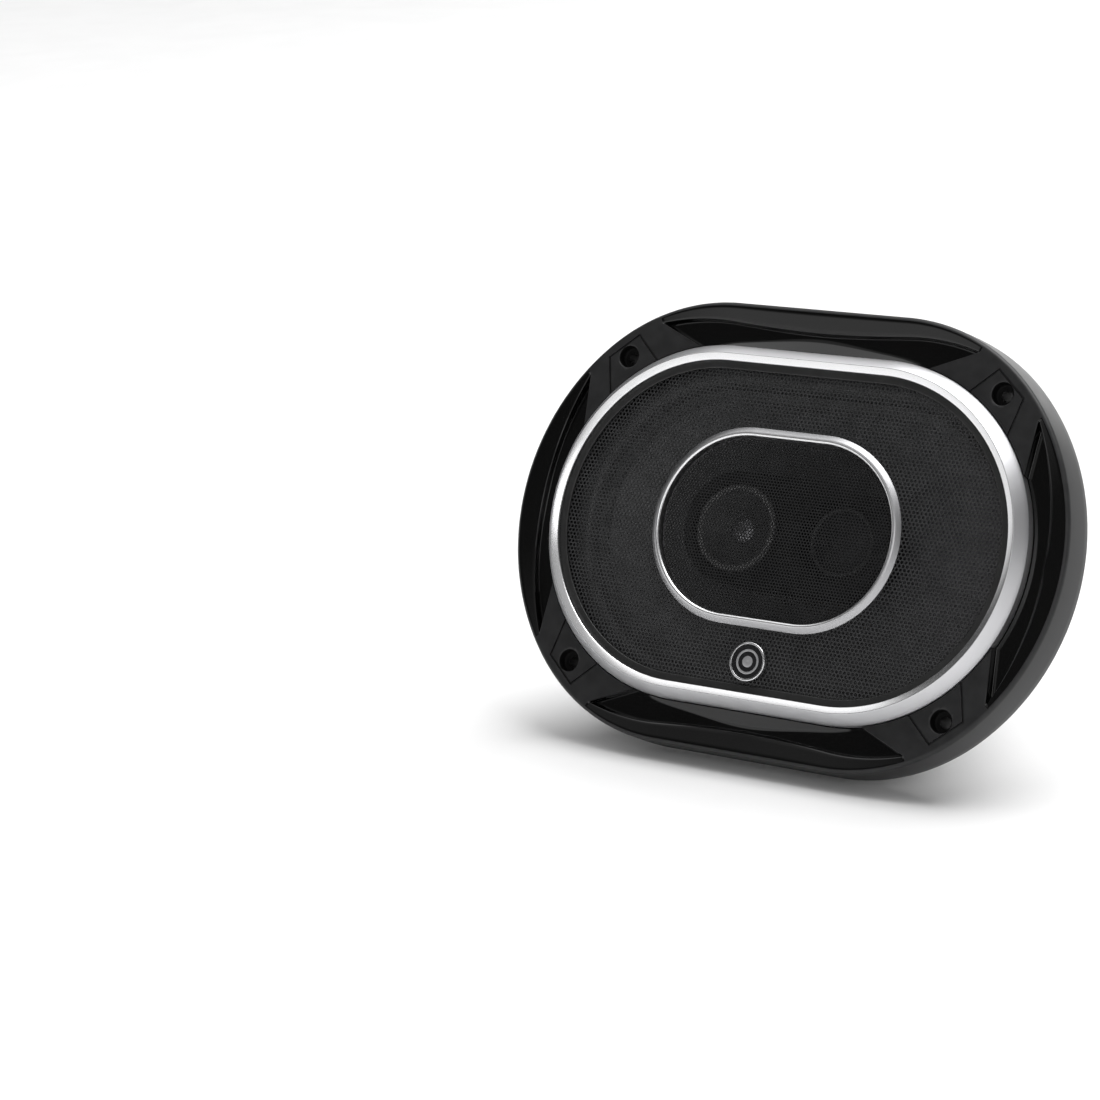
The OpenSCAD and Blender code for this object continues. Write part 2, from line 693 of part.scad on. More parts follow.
module grille_tray() {
    color([0.06, 0.06, 0.065]) placed() difference() {
        union() {
            tray_shell();
            four_corners() translate([hole[0], hole[1], flange_t + 0.05])
                cylinder(r = boss_r, h = deck_z - flange_t + lap);
        }
        channels();
        four_corners() translate(hole) {
            cylinder(r = hole_d / 2, h = tray_rise + 1);
            translate([0, 0, tray_rise - 3]) cylinder(r = sink_r, h = 4);
        }
    }
}

// ---- Lift-off grille ----
module trim_ring() {
    foot = ledge_z + 2;
    section = [
        [ring_out_r - 1.8, foot], [ring_out_r, foot], [ring_out_r, tray_rise + 0.4],
        [ring_out_r - 1, tray_rise + 1.6], [mesh_r + 4, crest_z - 0.6], [mesh_r + 3.2, crest_z],
        [mesh_r + 1.6, crest_z - 0.4], [mesh_r + 0.5, crest_z - 1.8], [mesh_r + 0.5, crest_z - 3],
        [mesh_r + 2.5, crest_z - 3], [ring_out_r - 2.5, tray_rise + 0.4]
    ];
    color([0.78, 0.78, 0.79]) placed() loft_ring([for (p = section) at(outline(track(p[0])), p[1])]);
}

module mesh_carrier() {
    section = [
        [mesh_r + 2.6, ledge_z + fit], [mesh_r + 4.6, ledge_z + fit], [mesh_r + 4.6, ledge_z + 5],
        [mesh_r + 2, crest_z - 3.2], [mesh_r - 2.8, crest_z - 3.2], [mesh_r - 2.8, crest_z - 4.1],
        [mesh_r + 1.8, crest_z - 4.1], [mesh_r + 2.6, ledge_z + 4.4]
    ];
    color([0.06, 0.06, 0.06]) placed() loft_ring([for (p = section) at(outline(track(p[0])), p[1])]);
}

badge_v = -(inner_out_r + mesh_r) / 2 - 0.8;
badge_z = mesh_in_z + 0.05;
stud_r = 1.3;
module main_mesh() {
    function edge(d) = at(outline(track(mesh_r + 1.2)), mesh_edge_z + d);
    function border(d) = at(outline(track(mesh_r - 2.9)), mesh_edge_z + d);
    function middle(d) = at(mix(outline(track(mesh_r - 2.9)),
                                outline(track(inner_r + 1.1, inner_flat)), 0.35),
                            mesh_edge_z + mesh_dome * 0.6 + d);
    function core(d) = at(outline(track(inner_r + 1.1, inner_flat)), mesh_in_z + d);
    color([0.09, 0.09, 0.09]) placed() difference() {
        loft_ring([edge(-mesh_t), edge(0), border(0), middle(0),
                   core(0), core(-mesh_t), middle(-mesh_t), border(-mesh_t)]);
        translate([0, badge_v, 0]) cylinder(r = stud_r + fit, h = 40);
    }
}

module inner_trim_ring() {
    section = [
        [inner_out_r, mesh_in_z + 0.1], [inner_out_r, mesh_in_z + 0.6],
        [inner_r + 1.6, crest_z - 0.2], [inner_r + 0.6, crest_z - 0.1], [inner_r, crest_z - 0.8],
        [inner_r, mesh_in_z - 1.8], [inner_r + 1, mesh_in_z - 1.8], [inner_r + 1, mesh_in_z + 0.1]
    ];
    color([0.78, 0.78, 0.79]) placed()
        loft_ring([for (p = section) at(outline(track(p[0], inner_flat)), p[1])]);
}

module inner_mesh() {
    color([0.05, 0.05, 0.05]) placed() translate([0, 0, mesh_in_z - 1.3]) linear_extrude(mesh_t)
        polygon(outline(track(inner_r - 0.05, inner_flat)));
}

badge_r = min(badge_d, mesh_r - inner_out_r - 6) / 2;
module badge_rim() {
    color([0.8, 0.8, 0.8]) placed() translate([0, badge_v, 0]) {
        tube(badge_r, badge_r - 1.1, badge_z, badge_z + 1.8);
        translate([0, 0, badge_z]) cylinder(r = badge_r - 0.5, h = 0.6);
        translate([0, 0, mesh_edge_z - 2]) cylinder(r = stud_r, h = badge_z - mesh_edge_z + 2.3);
    }
}

module badge_face() {
    color([0.05, 0.05, 0.05]) placed() translate([0, badge_v, badge_z + 0.65])
        cylinder(r = badge_r - 1.15, h = 0.7);
}

basket();
front_gasket();
terminal_bracket();
terminal_tab_wide();
terminal_tab_narrow();
solder_lugs();
terminal_rivets();
tinsel_leads();
crossover_capacitor();
top_plate();
magnet_ring();
back_plate();
magnet_boot();
rear_label();
post_screw();
cone();
surround();
voice_coil_former();
voice_coil_winding();
spider();
pod_post();
pod_housing();
midrange_frame();
midrange_cone();
midrange_surround();
midrange_dust_cap();
midrange_coil();
midrange_magnet();
tweeter_faceplate();
tweeter_dome();
tweeter_surround();
tweeter_coil();
tweeter_magnet();
grille_tray();
trim_ring();
mesh_carrier();
main_mesh();
inner_trim_ring();
inner_mesh();
badge_rim();
badge_face();
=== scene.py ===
"""Oval three-way coaxial car speaker, leaning back on its rim and magnet boot.

Every new piece is worked out in the speaker's own frame, in millimetres: x along the long axis, v up the
face, z out of the face, with z = 0 at the mounting plane. Stance.world() then leans it into the frame that
all pieces share.
"""

from __future__ import annotations

import json
import logging
import math
from collections.abc import Callable, Sequence
from dataclasses import dataclass, field, replace
from enum import Enum

import bmesh
import bpy
import numpy as np
from mathutils import Matrix

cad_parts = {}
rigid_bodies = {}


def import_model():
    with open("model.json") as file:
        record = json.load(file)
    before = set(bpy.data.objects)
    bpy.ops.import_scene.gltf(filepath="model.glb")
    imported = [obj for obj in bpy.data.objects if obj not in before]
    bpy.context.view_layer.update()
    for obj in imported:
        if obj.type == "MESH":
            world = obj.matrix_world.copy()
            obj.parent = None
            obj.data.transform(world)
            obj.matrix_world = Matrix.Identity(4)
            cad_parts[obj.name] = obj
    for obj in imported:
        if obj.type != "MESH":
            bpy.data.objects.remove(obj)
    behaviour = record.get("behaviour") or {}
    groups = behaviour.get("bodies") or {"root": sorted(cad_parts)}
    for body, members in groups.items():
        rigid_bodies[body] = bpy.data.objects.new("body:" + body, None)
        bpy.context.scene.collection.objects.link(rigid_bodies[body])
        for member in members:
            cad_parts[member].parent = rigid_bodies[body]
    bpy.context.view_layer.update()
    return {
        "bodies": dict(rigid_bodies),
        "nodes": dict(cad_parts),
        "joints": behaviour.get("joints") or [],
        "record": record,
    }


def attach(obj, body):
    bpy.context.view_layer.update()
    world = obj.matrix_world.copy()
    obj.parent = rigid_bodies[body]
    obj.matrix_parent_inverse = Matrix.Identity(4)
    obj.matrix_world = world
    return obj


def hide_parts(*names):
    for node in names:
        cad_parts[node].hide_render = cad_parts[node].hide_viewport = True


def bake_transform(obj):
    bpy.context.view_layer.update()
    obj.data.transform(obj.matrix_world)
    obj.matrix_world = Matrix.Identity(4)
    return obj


LOG = logging.getLogger("coaxial_speaker")
MM = 0.001
QUARTERS = ((1, 1), (-1, 1), (-1, -1), (1, -1))
MERGE_MM = 0.0005
MERGE_M = 2e-6
Colour = tuple[float, float, float]
FaceMap = Callable[[np.ndarray, np.ndarray], np.ndarray]


class Body(Enum):
    """The bodies that pieces ride on."""

    CHASSIS = "chassis"
    CONE = "cone_assembly"
    MIDRANGE = "midrange_diaphragm"
    TWEETER = "tweeter_diaphragm"
    GRILLE = "grille"


@dataclass(frozen=True)
class Stance:
    """How the speaker leans back, and where its own origin then lies."""

    lean: float = math.atan2(38.0, 77.0)
    shift_y: float = -19.7033
    shift_z: float = 83.5801

    def turn(self) -> np.ndarray:
        """Rotation from the speaker's frame to the shared frame, as rows."""
        s, c = math.sin(self.lean), math.cos(self.lean)
        return np.array([[1.0, 0.0, 0.0], [0.0, s, -c], [0.0, c, s]])

    def world(self, points: np.ndarray) -> np.ndarray:
        """Points of the speaker's frame in the shared frame.

        Args:
            points: rows of x, v, z in millimetres.

        Returns:
            Rows of x, y, z in metres.
        """
        shift = np.array([0.0, self.shift_y, self.shift_z])
        return (np.asarray(points, float) @ self.turn().T + shift) * MM


STANCE = Stance()


# ---------------------------------------------------------------- shader graphs


class Signal:
    """One shader socket that can be added, multiplied and compared like a number."""

    def __init__(self, graph: Graph, socket: bpy.types.NodeSocket) -> None:
        """Args: graph: the material's graph. socket: the output that carries the value."""
        self.graph = graph
        self.socket = socket

    def _math(self, operation: str, *values: Signal | float) -> Signal:
        """A Math node on this and other values."""
        return self.graph.node(
            "ShaderNodeMath", {"operation": operation}, dict(enumerate(values))
        )

    def __add__(self, other: Signal | float) -> Signal:
        """Sum."""
        return self._math("ADD", self, other)

    __radd__ = __add__

    def __sub__(self, other: Signal | float) -> Signal:
        """Difference."""
        return self._math("SUBTRACT", self, other)

    def __rsub__(self, other: float) -> Signal:
        """Reflected difference."""
        return self._math("SUBTRACT", other, self)

    def __mul__(self, other: Signal | float) -> Signal:
        """Product."""
        return self._math("MULTIPLY", self, other)

    __rmul__ = __mul__

    def __truediv__(self, other: Signal | float) -> Signal:
        """Quotient."""
        return self._math("DIVIDE", self, other)

    def power(self, exponent: float) -> Signal:
        """This value raised to a power."""
        return self._math("POWER", self, exponent)

    def root(self) -> Signal:
        """Square root."""
        return self._math("SQRT", self)

    def size(self) -> Signal:
        """Absolute value."""
        return self._math("ABSOLUTE", self)

    def sine(self) -> Signal:
        """Sine of this value in radians."""
        return self._math("SINE", self)

    def at_least(self, other: Signal | float) -> Signal:
        """The larger of two values."""
        return self._math("MAXIMUM", self, other)

    def at_most(self, other: Signal | float) -> Signal:
        """The smaller of two values."""
        return self._math("MINIMUM", self, other)

    def angle_from(self, other: Signal) -> Signal:
        """Angle whose tangent is this over the other value."""
        return self._math("ARCTAN2", self, other)

    def ramp(self, low: float, high: float) -> Signal:
        """A smooth step that is 0 at low and 1 at high."""
        return self.graph.node(
            "ShaderNodeMapRange",
            {"interpolation_type": "SMOOTHSTEP"},
            {0: self, 1: low, 2: high, 3: 0.0, 4: 1.0},
        )

    def band(self, centre: float, half: float, soft: float) -> Signal:
        """1 within half of centre, falling to 0 over soft."""
        return 1.0 - (self - centre).size().ramp(half, half + soft)


def distance(x: Signal, v: Signal, at: tuple[float, float]) -> Signal:
    """Distance of the shaded point from a point of the face."""
    dx, dv = x - at[0], v - at[1]
    return (dx * dx + dv * dv).root()


class Graph:
    """The node tree of one material, with its coordinates in the speaker's own millimetres."""

    def __init__(self, name: str) -> None:
        """Args: name: the material's name."""
        self.material = bpy.data.materials.new(name)
        self.material.use_nodes = True
        self.tree = self.material.node_tree
        self.tree.nodes.clear()
        self.shader = self.tree.nodes.new("ShaderNodeBsdfPrincipled")
        out = self.tree.nodes.new("ShaderNodeOutputMaterial")
        self.tree.links.new(self.shader.outputs[0], out.inputs[0])

    def node(
        self,
        kind: str,
        settings: dict[str, object] | None = None,
        values: dict[int | str, object] | None = None,
        output: int | str = 0,
    ) -> Signal:
        """Adds a node.

        Args:
            kind: the node's type.
            settings: attributes that are set before its sockets.
            values: a number, colour or Signal for each input.
            output: which output to return.

        Returns:
            The output as a Signal.
        """
        made = self.tree.nodes.new(kind)
        for key, value in (settings or {}).items():
            setattr(made, key, value)
        for key, value in (values or {}).items():
            if isinstance(value, Signal):
                self.tree.links.new(value.socket, made.inputs[key])
            else:
                made.inputs[key].default_value = value
        return Signal(self, made.outputs[output])

    def place(self, shift: Colour = (0.0, 0.0, 0.0)) -> Signal:
        """Coordinates in the speaker's frame, in millimetres, less a shift."""
        turn = STANCE.turn()
        inverse = Matrix(turn.tolist()).transposed()
        origin = -(turn.T @ np.array([0.0, STANCE.shift_y, STANCE.shift_z]))
        coords = self.node("ShaderNodeTexCoord", output="Object")
        return self.node(
            "ShaderNodeMapping",
            {"vector_type": "POINT"},
            {
                0: coords,
                1: tuple(origin - np.array(shift)),
                2: tuple(inverse.to_euler()),
                3: (1 / MM,) * 3,
            },
        )

    def split(self, vector: Signal) -> tuple[Signal, Signal, Signal]:
        """The three parts of a vector."""
        first = self.node("ShaderNodeSeparateXYZ", None, {0: vector})
        node = first.socket.node
        return first, Signal(self, node.outputs[1]), Signal(self, node.outputs[2])

    def noise(self, vector: Signal, grain: float, detail: float = 3.0) -> Signal:
        """Noise from 0 to 1 whose lumps are about grain millimetres wide."""
        return self.node(
            "ShaderNodeTexNoise",
            {"normalize": True},
            {"Vector": vector, "Scale": 1 / grain, "Detail": detail},
        )

    def mix(self, share: Signal, low: Colour | Signal, high: Colour | Signal) -> Signal:
        """A colour between two, by share."""
        colours = {
            k: v if isinstance(v, Signal) else (*v, 1.0)
            for k, v in ((6, low), (7, high))
        }
        return self.node(
            "ShaderNodeMix", {"data_type": "RGBA"}, {0: share, **colours}, output=2
        )

    def relief(self, height: Signal, depth: float, strength: float = 1.0) -> None:
        """Bumps the surface by a height from 0 to 1, depth millimetres deep."""
        values = {"Height": height, "Distance": depth * MM, "Strength": strength}
        self.wire("Normal", self.node("ShaderNodeBump", None, values))

    def wire(self, name: str, value: Signal | float | Colour) -> None:
        """Sets or links an input of the shader."""
        if isinstance(value, Signal):
            self.tree.links.new(value.socket, self.shader.inputs[name])
        elif isinstance(value, tuple):
            self.shader.inputs[name].default_value = (*value, 1.0)
        else:
            self.shader.inputs[name].default_value = value


@dataclass(frozen=True)
class Finish:
    """A moulded, coated or cast surface: an even colour with a grain that roughens and bumps it."""

    name: str
    colour: Colour
    roughness: float
    metallic: float = 0.0
    grain: float = 0.5
    depth: float = 0.01
    mottle: float = 0.15
    spread: float = 0.1
    coat: float = 0.0
    specular: float = 0.5

    def build(self) -> bpy.types.Material:
        """The finish as a material."""
        graph = Graph(self.name)
        here = graph.place()
        fine = graph.noise(here, self.grain)
        broad = graph.noise(here, self.grain * 28, 4.0)
        graph.wire("Metallic", self.metallic)
        graph.wire("Coat Weight", self.coat)
        graph.wire("Coat Roughness", 0.08)
        graph.wire("Specular IOR Level", self.specular)
        self.paint(graph, here, fine, broad)
        return graph.material

    def paint(self, graph: Graph, here: Signal, fine: Signal, broad: Signal) -> None:
        """Colour, roughness and relief.

        Args:
            graph: the material's graph.
            here: coordinates in millimetres.
            fine: noise at the grain's size.
            broad: noise at many times the grain's size.
        """
        low = tuple(c * (1 - self.mottle) for c in self.colour)
        high = tuple(min(1.0, c * (1 + self.mottle)) for c in self.colour)
        graph.wire("Base Color", graph.mix(broad.ramp(0.3, 0.7), low, high))
        graph.wire("Roughness", self.roughness + self.spread * (fine + broad - 1.0))
        graph.relief(fine, self.depth)


@dataclass(frozen=True)
class BrushedFinish(Finish):
    """Spun or brushed metal: fine streaks round the oval, as rings of even distance from its spine."""

    flat: float = 72.0
    streak: float = 0.12
    turns: float = 6.0

    def paint(self, graph: Graph, here: Signal, fine: Signal, broad: Signal) -> None:
        """Streaks are noise on the distance from the spine, stretched along the ring."""
        x, v, z = graph.split(here)
        along = (x.size() - self.flat / 2).at_least(0.0)
        radius = (along * along + v * v).root()
        turn = v.angle_from(along) * self.turns
        line = graph.node("ShaderNodeCombineXYZ", None, {0: radius, 1: turn, 2: z})
        streaks = graph.noise(line, self.streak, 2.0)
        low = tuple(c * (1 - self.mottle) for c in self.colour)
        graph.wire("Base Color", graph.mix(0.6 * streaks + 0.4 * broad, low, self.colour))
        graph.wire("Roughness", self.roughness + self.spread * (streaks - 0.5))
        graph.relief(streaks * 0.6 + fine * 0.4, self.depth)


@dataclass(frozen=True)
class WovenFinish(Finish):
    """Cloth impregnated with resin: two crossing sets of threads with a little fuzz."""

    thread: float = 0.6

    def paint(self, graph: Graph, here: Signal, fine: Signal, broad: Signal) -> None:
        """Threads are a product of two sine waves."""
        x, v, _ = graph.split(here)
        rate = math.tau / self.thread
        weave = ((x * rate).sine() * (v * rate).sine()) * 0.5 + 0.5
        low = tuple(c * (1 - self.mottle) for c in self.colour)
        graph.wire("Base Color", graph.mix(0.7 * weave + 0.3 * broad, low, self.colour))
        graph.wire("Roughness", self.roughness + self.spread * (fine - 0.5))
        graph.relief(weave * 0.8 + fine * 0.2, self.depth)


@dataclass(frozen=True)
class BraidFinish(Finish):
    """Braided wire on a tube: diagonal strands from the tube's own lengthwise and crosswise map."""

    strands: float = 5.0
    pitch: float = 60.0
    shade: float = 0.35

    def paint(self, graph: Graph, here: Signal, fine: Signal, broad: Signal) -> None:
        """Strands are the larger of two opposed diagonal waves."""
        u, w, _ = graph.split(graph.node("ShaderNodeUVMap", {"uv_map": "UVMap"}))
        one = ((u * self.pitch + w * self.strands) * math.tau).sine()
        two = ((u * self.pitch - w * self.strands) * math.tau).sine()
        braid = one.at_least(two) * 0.5 + 0.5
        low = tuple(c * self.shade for c in self.colour)
        graph.wire("Base Color", graph.mix(braid, low, self.colour))
        graph.wire("Roughness", self.roughness + self.spread * (fine - 0.5))
        graph.relief(braid, self.depth)


@dataclass(frozen=True)
class LabelFinish(Finish):
    """The film on the boot: a violet gradient, two slanted gold stripes, a silver disc and pale circles."""

    radius: float = 43.0
    stripe_x: float = 24.0
    stripe_half: float = 0.9
    slant: float = 0.13
    big_circle: tuple[float, float] = (-8.0, 2.0)
    small_circle: tuple[float, float] = (-16.0, -12.0)
    roundel: tuple[float, float] = (23.6, -4.0)
    roundel_radius: float = 6.6
    foot: Colour = (0.036, 0.022, 0.078)
    head: Colour = (0.085, 0.058, 0.115)
    gold: Colour = (0.52, 0.25, 0.05)
    lilac: Colour = (0.2, 0.15, 0.38)
    silver: Colour = (0.4, 0.4, 0.41)
    ink: Colour = (0.03, 0.03, 0.035)

    def paint(self, graph: Graph, here: Signal, fine: Signal, broad: Signal) -> None:
        """Each mark is a band of a distance, laid over the one before."""
        x, v, _ = graph.split(here)
        across = x - v * self.slant - self.stripe_x
        height = (v + self.radius) / (2 * self.radius)
        colour = graph.mix(height, self.foot, self.head)
        big = distance(x, v, self.big_circle).band(19.0, 0.7, 0.5)
        small = distance(x, v, self.small_circle).band(13.0, 0.4, 0.4)
        colour = graph.mix(big.at_least(small) * (0.45 + 0.4 * height), colour, self.lilac)
        one, two = (across.band(at, self.stripe_half, 0.15) for at in (2.1, -1.4))
        stripes = one.at_least(two)
        colour = graph.mix(stripes, colour, self.gold)
        away = distance(x, v, self.roundel)
        colour = graph.mix(away.band(0.0, self.roundel_radius, 0.2), colour, self.silver)
        rings = away.band(5.6, 0.35, 0.15).at_least(away.band(2.2, 0.9, 0.15))
        colour = graph.mix(rings, colour, self.ink)
        graph.wire("Base Color", colour)
        graph.wire("Roughness", self.roughness + self.spread * (fine + broad - 1.0))
        graph.relief(fine * 0.6 + stripes * 0.4, self.depth)


@dataclass(frozen=True)
class ConeFinish(Finish):
    """A moulded cone: mineral flecks in a dark sheet, with faint rings from its mould."""

    ring_rate: float = 2.6
    dark: float = 0.75
    pale: float = 1.6

    def paint(self, graph: Graph, here: Signal, fine: Signal, broad: Signal) -> None:
        """Rings are a wave along z; flecks are the peaks of the fine noise."""
        _, _, z = graph.split(here)
        rings = (z * self.ring_rate).sine() * 0.5 + 0.5
        flecks = fine.ramp(0.62, 0.75)
        low = tuple(c * self.dark for c in self.colour)
        high = tuple(min(1.0, c * self.pale) for c in self.colour)
        graph.wire("Base Color", graph.mix(0.5 * flecks + 0.5 * broad, low, high))
        graph.wire("Roughness", self.roughness + self.spread * (fine - 0.5))
        graph.relief(rings * 0.5 + fine * 0.5, self.depth)


class Palette:
    """Every finish of the speaker, each built once."""

    SATIN_TRAY = Finish("satin_tray", (0.018, 0.018, 0.0185), 0.42, grain=0.22, depth=0.008, specular=0.3)
    GLOSS_CHANNEL = Finish("gloss_channel", (0.002, 0.002, 0.002), 0.09, grain=1.4, depth=0.002,
                           spread=0.04)
    # Painted shade: a near-black, low-sheen copy of the tray plastic for the faces inside the screw sinks
    # and bores. It stands in for the shade of the recess.
    SINK_SHADE = Finish("sink_painted_shade", (0.003, 0.003, 0.003), 0.6, grain=0.3, depth=0.01, specular=0.15)
    BRIGHT_SILVER = BrushedFinish("bright_silver", (0.86, 0.86, 0.87), 0.24, 1.0, depth=0.002, mottle=0.05)
    SATIN_SILVER = BrushedFinish("satin_silver", (0.66, 0.66, 0.675), 0.42, 1.0, depth=0.003, mottle=0.08)
    INNER_SILVER = BrushedFinish("inner_silver", (0.82, 0.82, 0.83), 0.3, 1.0, depth=0.002, mottle=0.06,
                                 flat=33.0)
    INNER_SLOPE = BrushedFinish("inner_slope_silver", (0.46, 0.46, 0.47), 0.38, 1.0, depth=0.003,
                                mottle=0.08, flat=33.0)
    BLACK_BAND = Finish("black_band", (0.012, 0.012, 0.012), 0.45, grain=0.3, depth=0.008)
    COATED_MESH = Finish("coated_mesh", (0.027, 0.027, 0.028), 0.4, grain=0.35, depth=0.01, spread=0.16)
    INNER_MESH = Finish("inner_coated_mesh", (0.01, 0.01, 0.0105), 0.45, grain=0.3, depth=0.01,
                        specular=0.4)
    CHROME = BrushedFinish("badge_chrome", (0.8, 0.8, 0.81), 0.18, 1.0, depth=0.001, mottle=0.05, flat=0.0)
    BADGE_BLACK = Finish("badge_black", (0.012, 0.012, 0.013), 0.16, grain=0.4, depth=0.003, coat=0.6)
    BASKET = Finish("powder_coat", (0.0095, 0.0095, 0.01), 0.4, grain=0.45, depth=0.02, spread=0.12)
    FOAM = Finish("closed_foam", (0.03, 0.03, 0.03), 0.85, grain=0.5, depth=0.08)
    BOOT = Finish("boot_rubber", (0.011, 0.011, 0.0115), 0.44, grain=0.4, depth=0.012, spread=0.12)
    BOOT_DARK = Finish("boot_shadow_ring", (0.002, 0.002, 0.002), 0.5, grain=0.4, depth=0.01, specular=0.2)
    LABEL = LabelFinish("printed_label", (0.1, 0.07, 0.15), 0.3, grain=0.3, depth=0.004, spread=0.06)
    BOARD = Finish("terminal_board", (0.035, 0.035, 0.036), 0.5, grain=0.35, depth=0.012)
    TIN = Finish("tin_plate", (0.74, 0.73, 0.7), 0.26, 0.95, grain=0.5, depth=0.006, spread=0.14)
    COPPER_BRAID = BraidFinish("copper_braid", (0.62, 0.3, 0.14), 0.38, 0.9, depth=0.08)
    CAPACITOR = Finish("capacitor_sleeve", (0.03, 0.05, 0.14), 0.22, grain=0.8, depth=0.004, coat=0.3)
    ZINC = Finish("zinc_plate", (0.5, 0.5, 0.52), 0.34, 0.9, grain=1.1, depth=0.006, spread=0.16)
    FERRITE = Finish("ferrite", (0.06, 0.06, 0.065), 0.7, grain=0.35, depth=0.03, mottle=0.3)
    CONE = ConeFinish("cone_sheet", (0.17, 0.17, 0.175), 0.42, grain=0.5, depth=0.02, spread=0.14)
    CONE_BACK = ConeFinish("cone_back", (0.4, 0.4, 0.405), 0.5, grain=0.5, depth=0.02, spread=0.1)
    RUBBER = Finish("surround_rubber", (0.13, 0.13, 0.132), 0.3, grain=0.3, depth=0.01, mottle=0.03)
    MIDRANGE_SHEET = replace(CONE, name="midrange_sheet", colour=(0.12, 0.12, 0.122))
    MIDRANGE_RUBBER = replace(RUBBER, name="midrange_rubber", colour=(0.4, 0.4, 0.4))
    FORMER = Finish("former_film", (0.5, 0.3, 0.1), 0.32, grain=0.6, depth=0.004)
    WINDING = Finish("enamelled_wire", (0.5, 0.2, 0.07), 0.3, 0.8, grain=0.2, depth=0.04)
    SPIDER = WovenFinish("spider_cloth", (0.5, 0.36, 0.1), 0.75, depth=0.1)
    POD = Finish("pod_plastic", (0.014, 0.014, 0.015), 0.4, grain=0.3, depth=0.008)
    SILK = WovenFinish("doped_silk", (0.03, 0.03, 0.033), 0.5, depth=0.02, thread=0.3)
    PALE_FLOOR = Finish("pale_floor", (0.86, 0.86, 0.86), 0.55, grain=2.0, mottle=0.01, spread=0.05)

    def __init__(self) -> None:
        """Starts with nothing built."""
        self.built: dict[str, bpy.types.Material] = {}

    def __getitem__(self, finish: Finish) -> bpy.types.Material:
        """The material of a finish."""
        if finish.name not in self.built:
            self.built[finish.name] = finish.build()
        return self.built[finish.name]


# ---------------------------------------------------------------- shapes


@dataclass
class Shape:
    """A mesh in the speaker's frame: points in millimetres, faces, and a finish number for each face."""

    points: np.ndarray
    faces: list[list[int]]
    groups: list[int] = field(default_factory=list)

    def __post_init__(self) -> None:
        """Faces without a finish number take the first."""
        if not self.groups:
            self.groups = [0] * len(self.faces)

    def __add__(self, other: Shape) -> Shape:
        """Both shapes as separate shells of one mesh."""
        shift = len(self.points)
        return Shape(
            np.vstack([self.points, other.points]),
            self.faces + [[i + shift for i in f] for f in other.faces],
            self.groups + other.groups,
        )

    def moved(self, x: float = 0.0, v: float = 0.0, z: float = 0.0) -> Shape:
        """The shape shifted in its own frame."""
        return Shape(self.points + np.array([x, v, z]), self.faces, self.groups)

    def mirrored(self, sx: float, sv: float) -> Shape:
        """The shape with x and v multiplied by signs; normals are put right when the mesh is made."""
        return Shape(self.points * np.array([sx, sv, 1.0]), self.faces, self.groups)

    def mesh(self, name: str) -> bpy.types.Mesh:
        """A Blender mesh with doubles merged and normals pointing outwards, still in millimetres."""
        made = bpy.data.meshes.new(name)
        made.from_pydata(self.points.tolist(), [], self.faces)
        made.polygons.foreach_set("material_index", np.array(self.groups, np.int32))
        work = bmesh.new()
        work.from_mesh(made)
        bmesh.ops.remove_doubles(work, verts=work.verts, dist=MERGE_MM)
        bmesh.ops.recalc_face_normals(work, faces=work.faces)
        work.to_mesh(made)
        work.free()
        return made


def smooth(share: np.ndarray) -> np.ndarray:
    """A smooth step from 0 to 1: three times the square of share, less twice its cube."""
    return share * share * (3 - 2 * share)


def read(
    parts: bpy.types.bpy_prop_collection, name: str, width: int, kind: type = np.float32
) -> np.ndarray:
    """An attribute of every vertex, face or corner of a mesh.

    Args:
        parts: the mesh's vertices, faces or corners.
        name: the attribute.
        width: how many numbers each one holds.
        kind: the type of the numbers.

    Returns:
        A row for each, or a plain array when the width is one.
    """
    values = np.zeros(len(parts) * width, kind)
    parts.foreach_get(name, values)
    return values if width == 1 else values.reshape(-1, width)


def grid_faces(rows: int, columns: int, wrap_rows: bool, wrap_columns: bool) -> np.ndarray:
    """Quads of a grid of points numbered row by row.

    Args:
        rows: number of rows.
        columns: number of points in a row.
        wrap_rows: joins the last row to the first.
        wrap_columns: joins the last point of each row to its first.

    Returns:
        One row of four indices for each quad, in the order of the grid.
    """
    j = np.arange(rows if wrap_rows else rows - 1)[:, None]
    i = np.arange(columns if wrap_columns else columns - 1)[None, :]
    j2, i2 = (j + 1) % rows, (i + 1) % columns
    corners = (j * columns + i, j * columns + i2, j2 * columns + i2, j2 * columns + i)
    return np.stack(corners, axis=-1).reshape(-1, 4)


def ring_shape(loops: np.ndarray, groups: Sequence[int] | None = None) -> Shape:
    """A closed ring from loops of points round the axis, in order around its section.

    Args:
        loops: array of loops by points by three.
        groups: a finish number for the strip after each loop.

    Returns:
        The ring.
    """
    rows, columns, _ = loops.shape
    faces = grid_faces(rows, columns, True, True).tolist()
    numbers = [0] * rows if groups is None else list(groups)
    return Shape(loops.reshape(-1, 3), faces, [g for g in numbers for _ in range(columns)])


def bar_shape(loops: np.ndarray) -> Shape:
    """A closed bar from section loops along a path, capped at both ends.

    Args:
        loops: array of loops by points by three.

    Returns:
        The bar.
    """
    rows, columns, _ = loops.shape
    faces = grid_faces(rows, columns, False, True).tolist()
    last = (rows - 1) * columns
    faces += [list(range(columns))[::-1], [last + i for i in range(columns)]]
    return Shape(loops.reshape(-1, 3), faces)


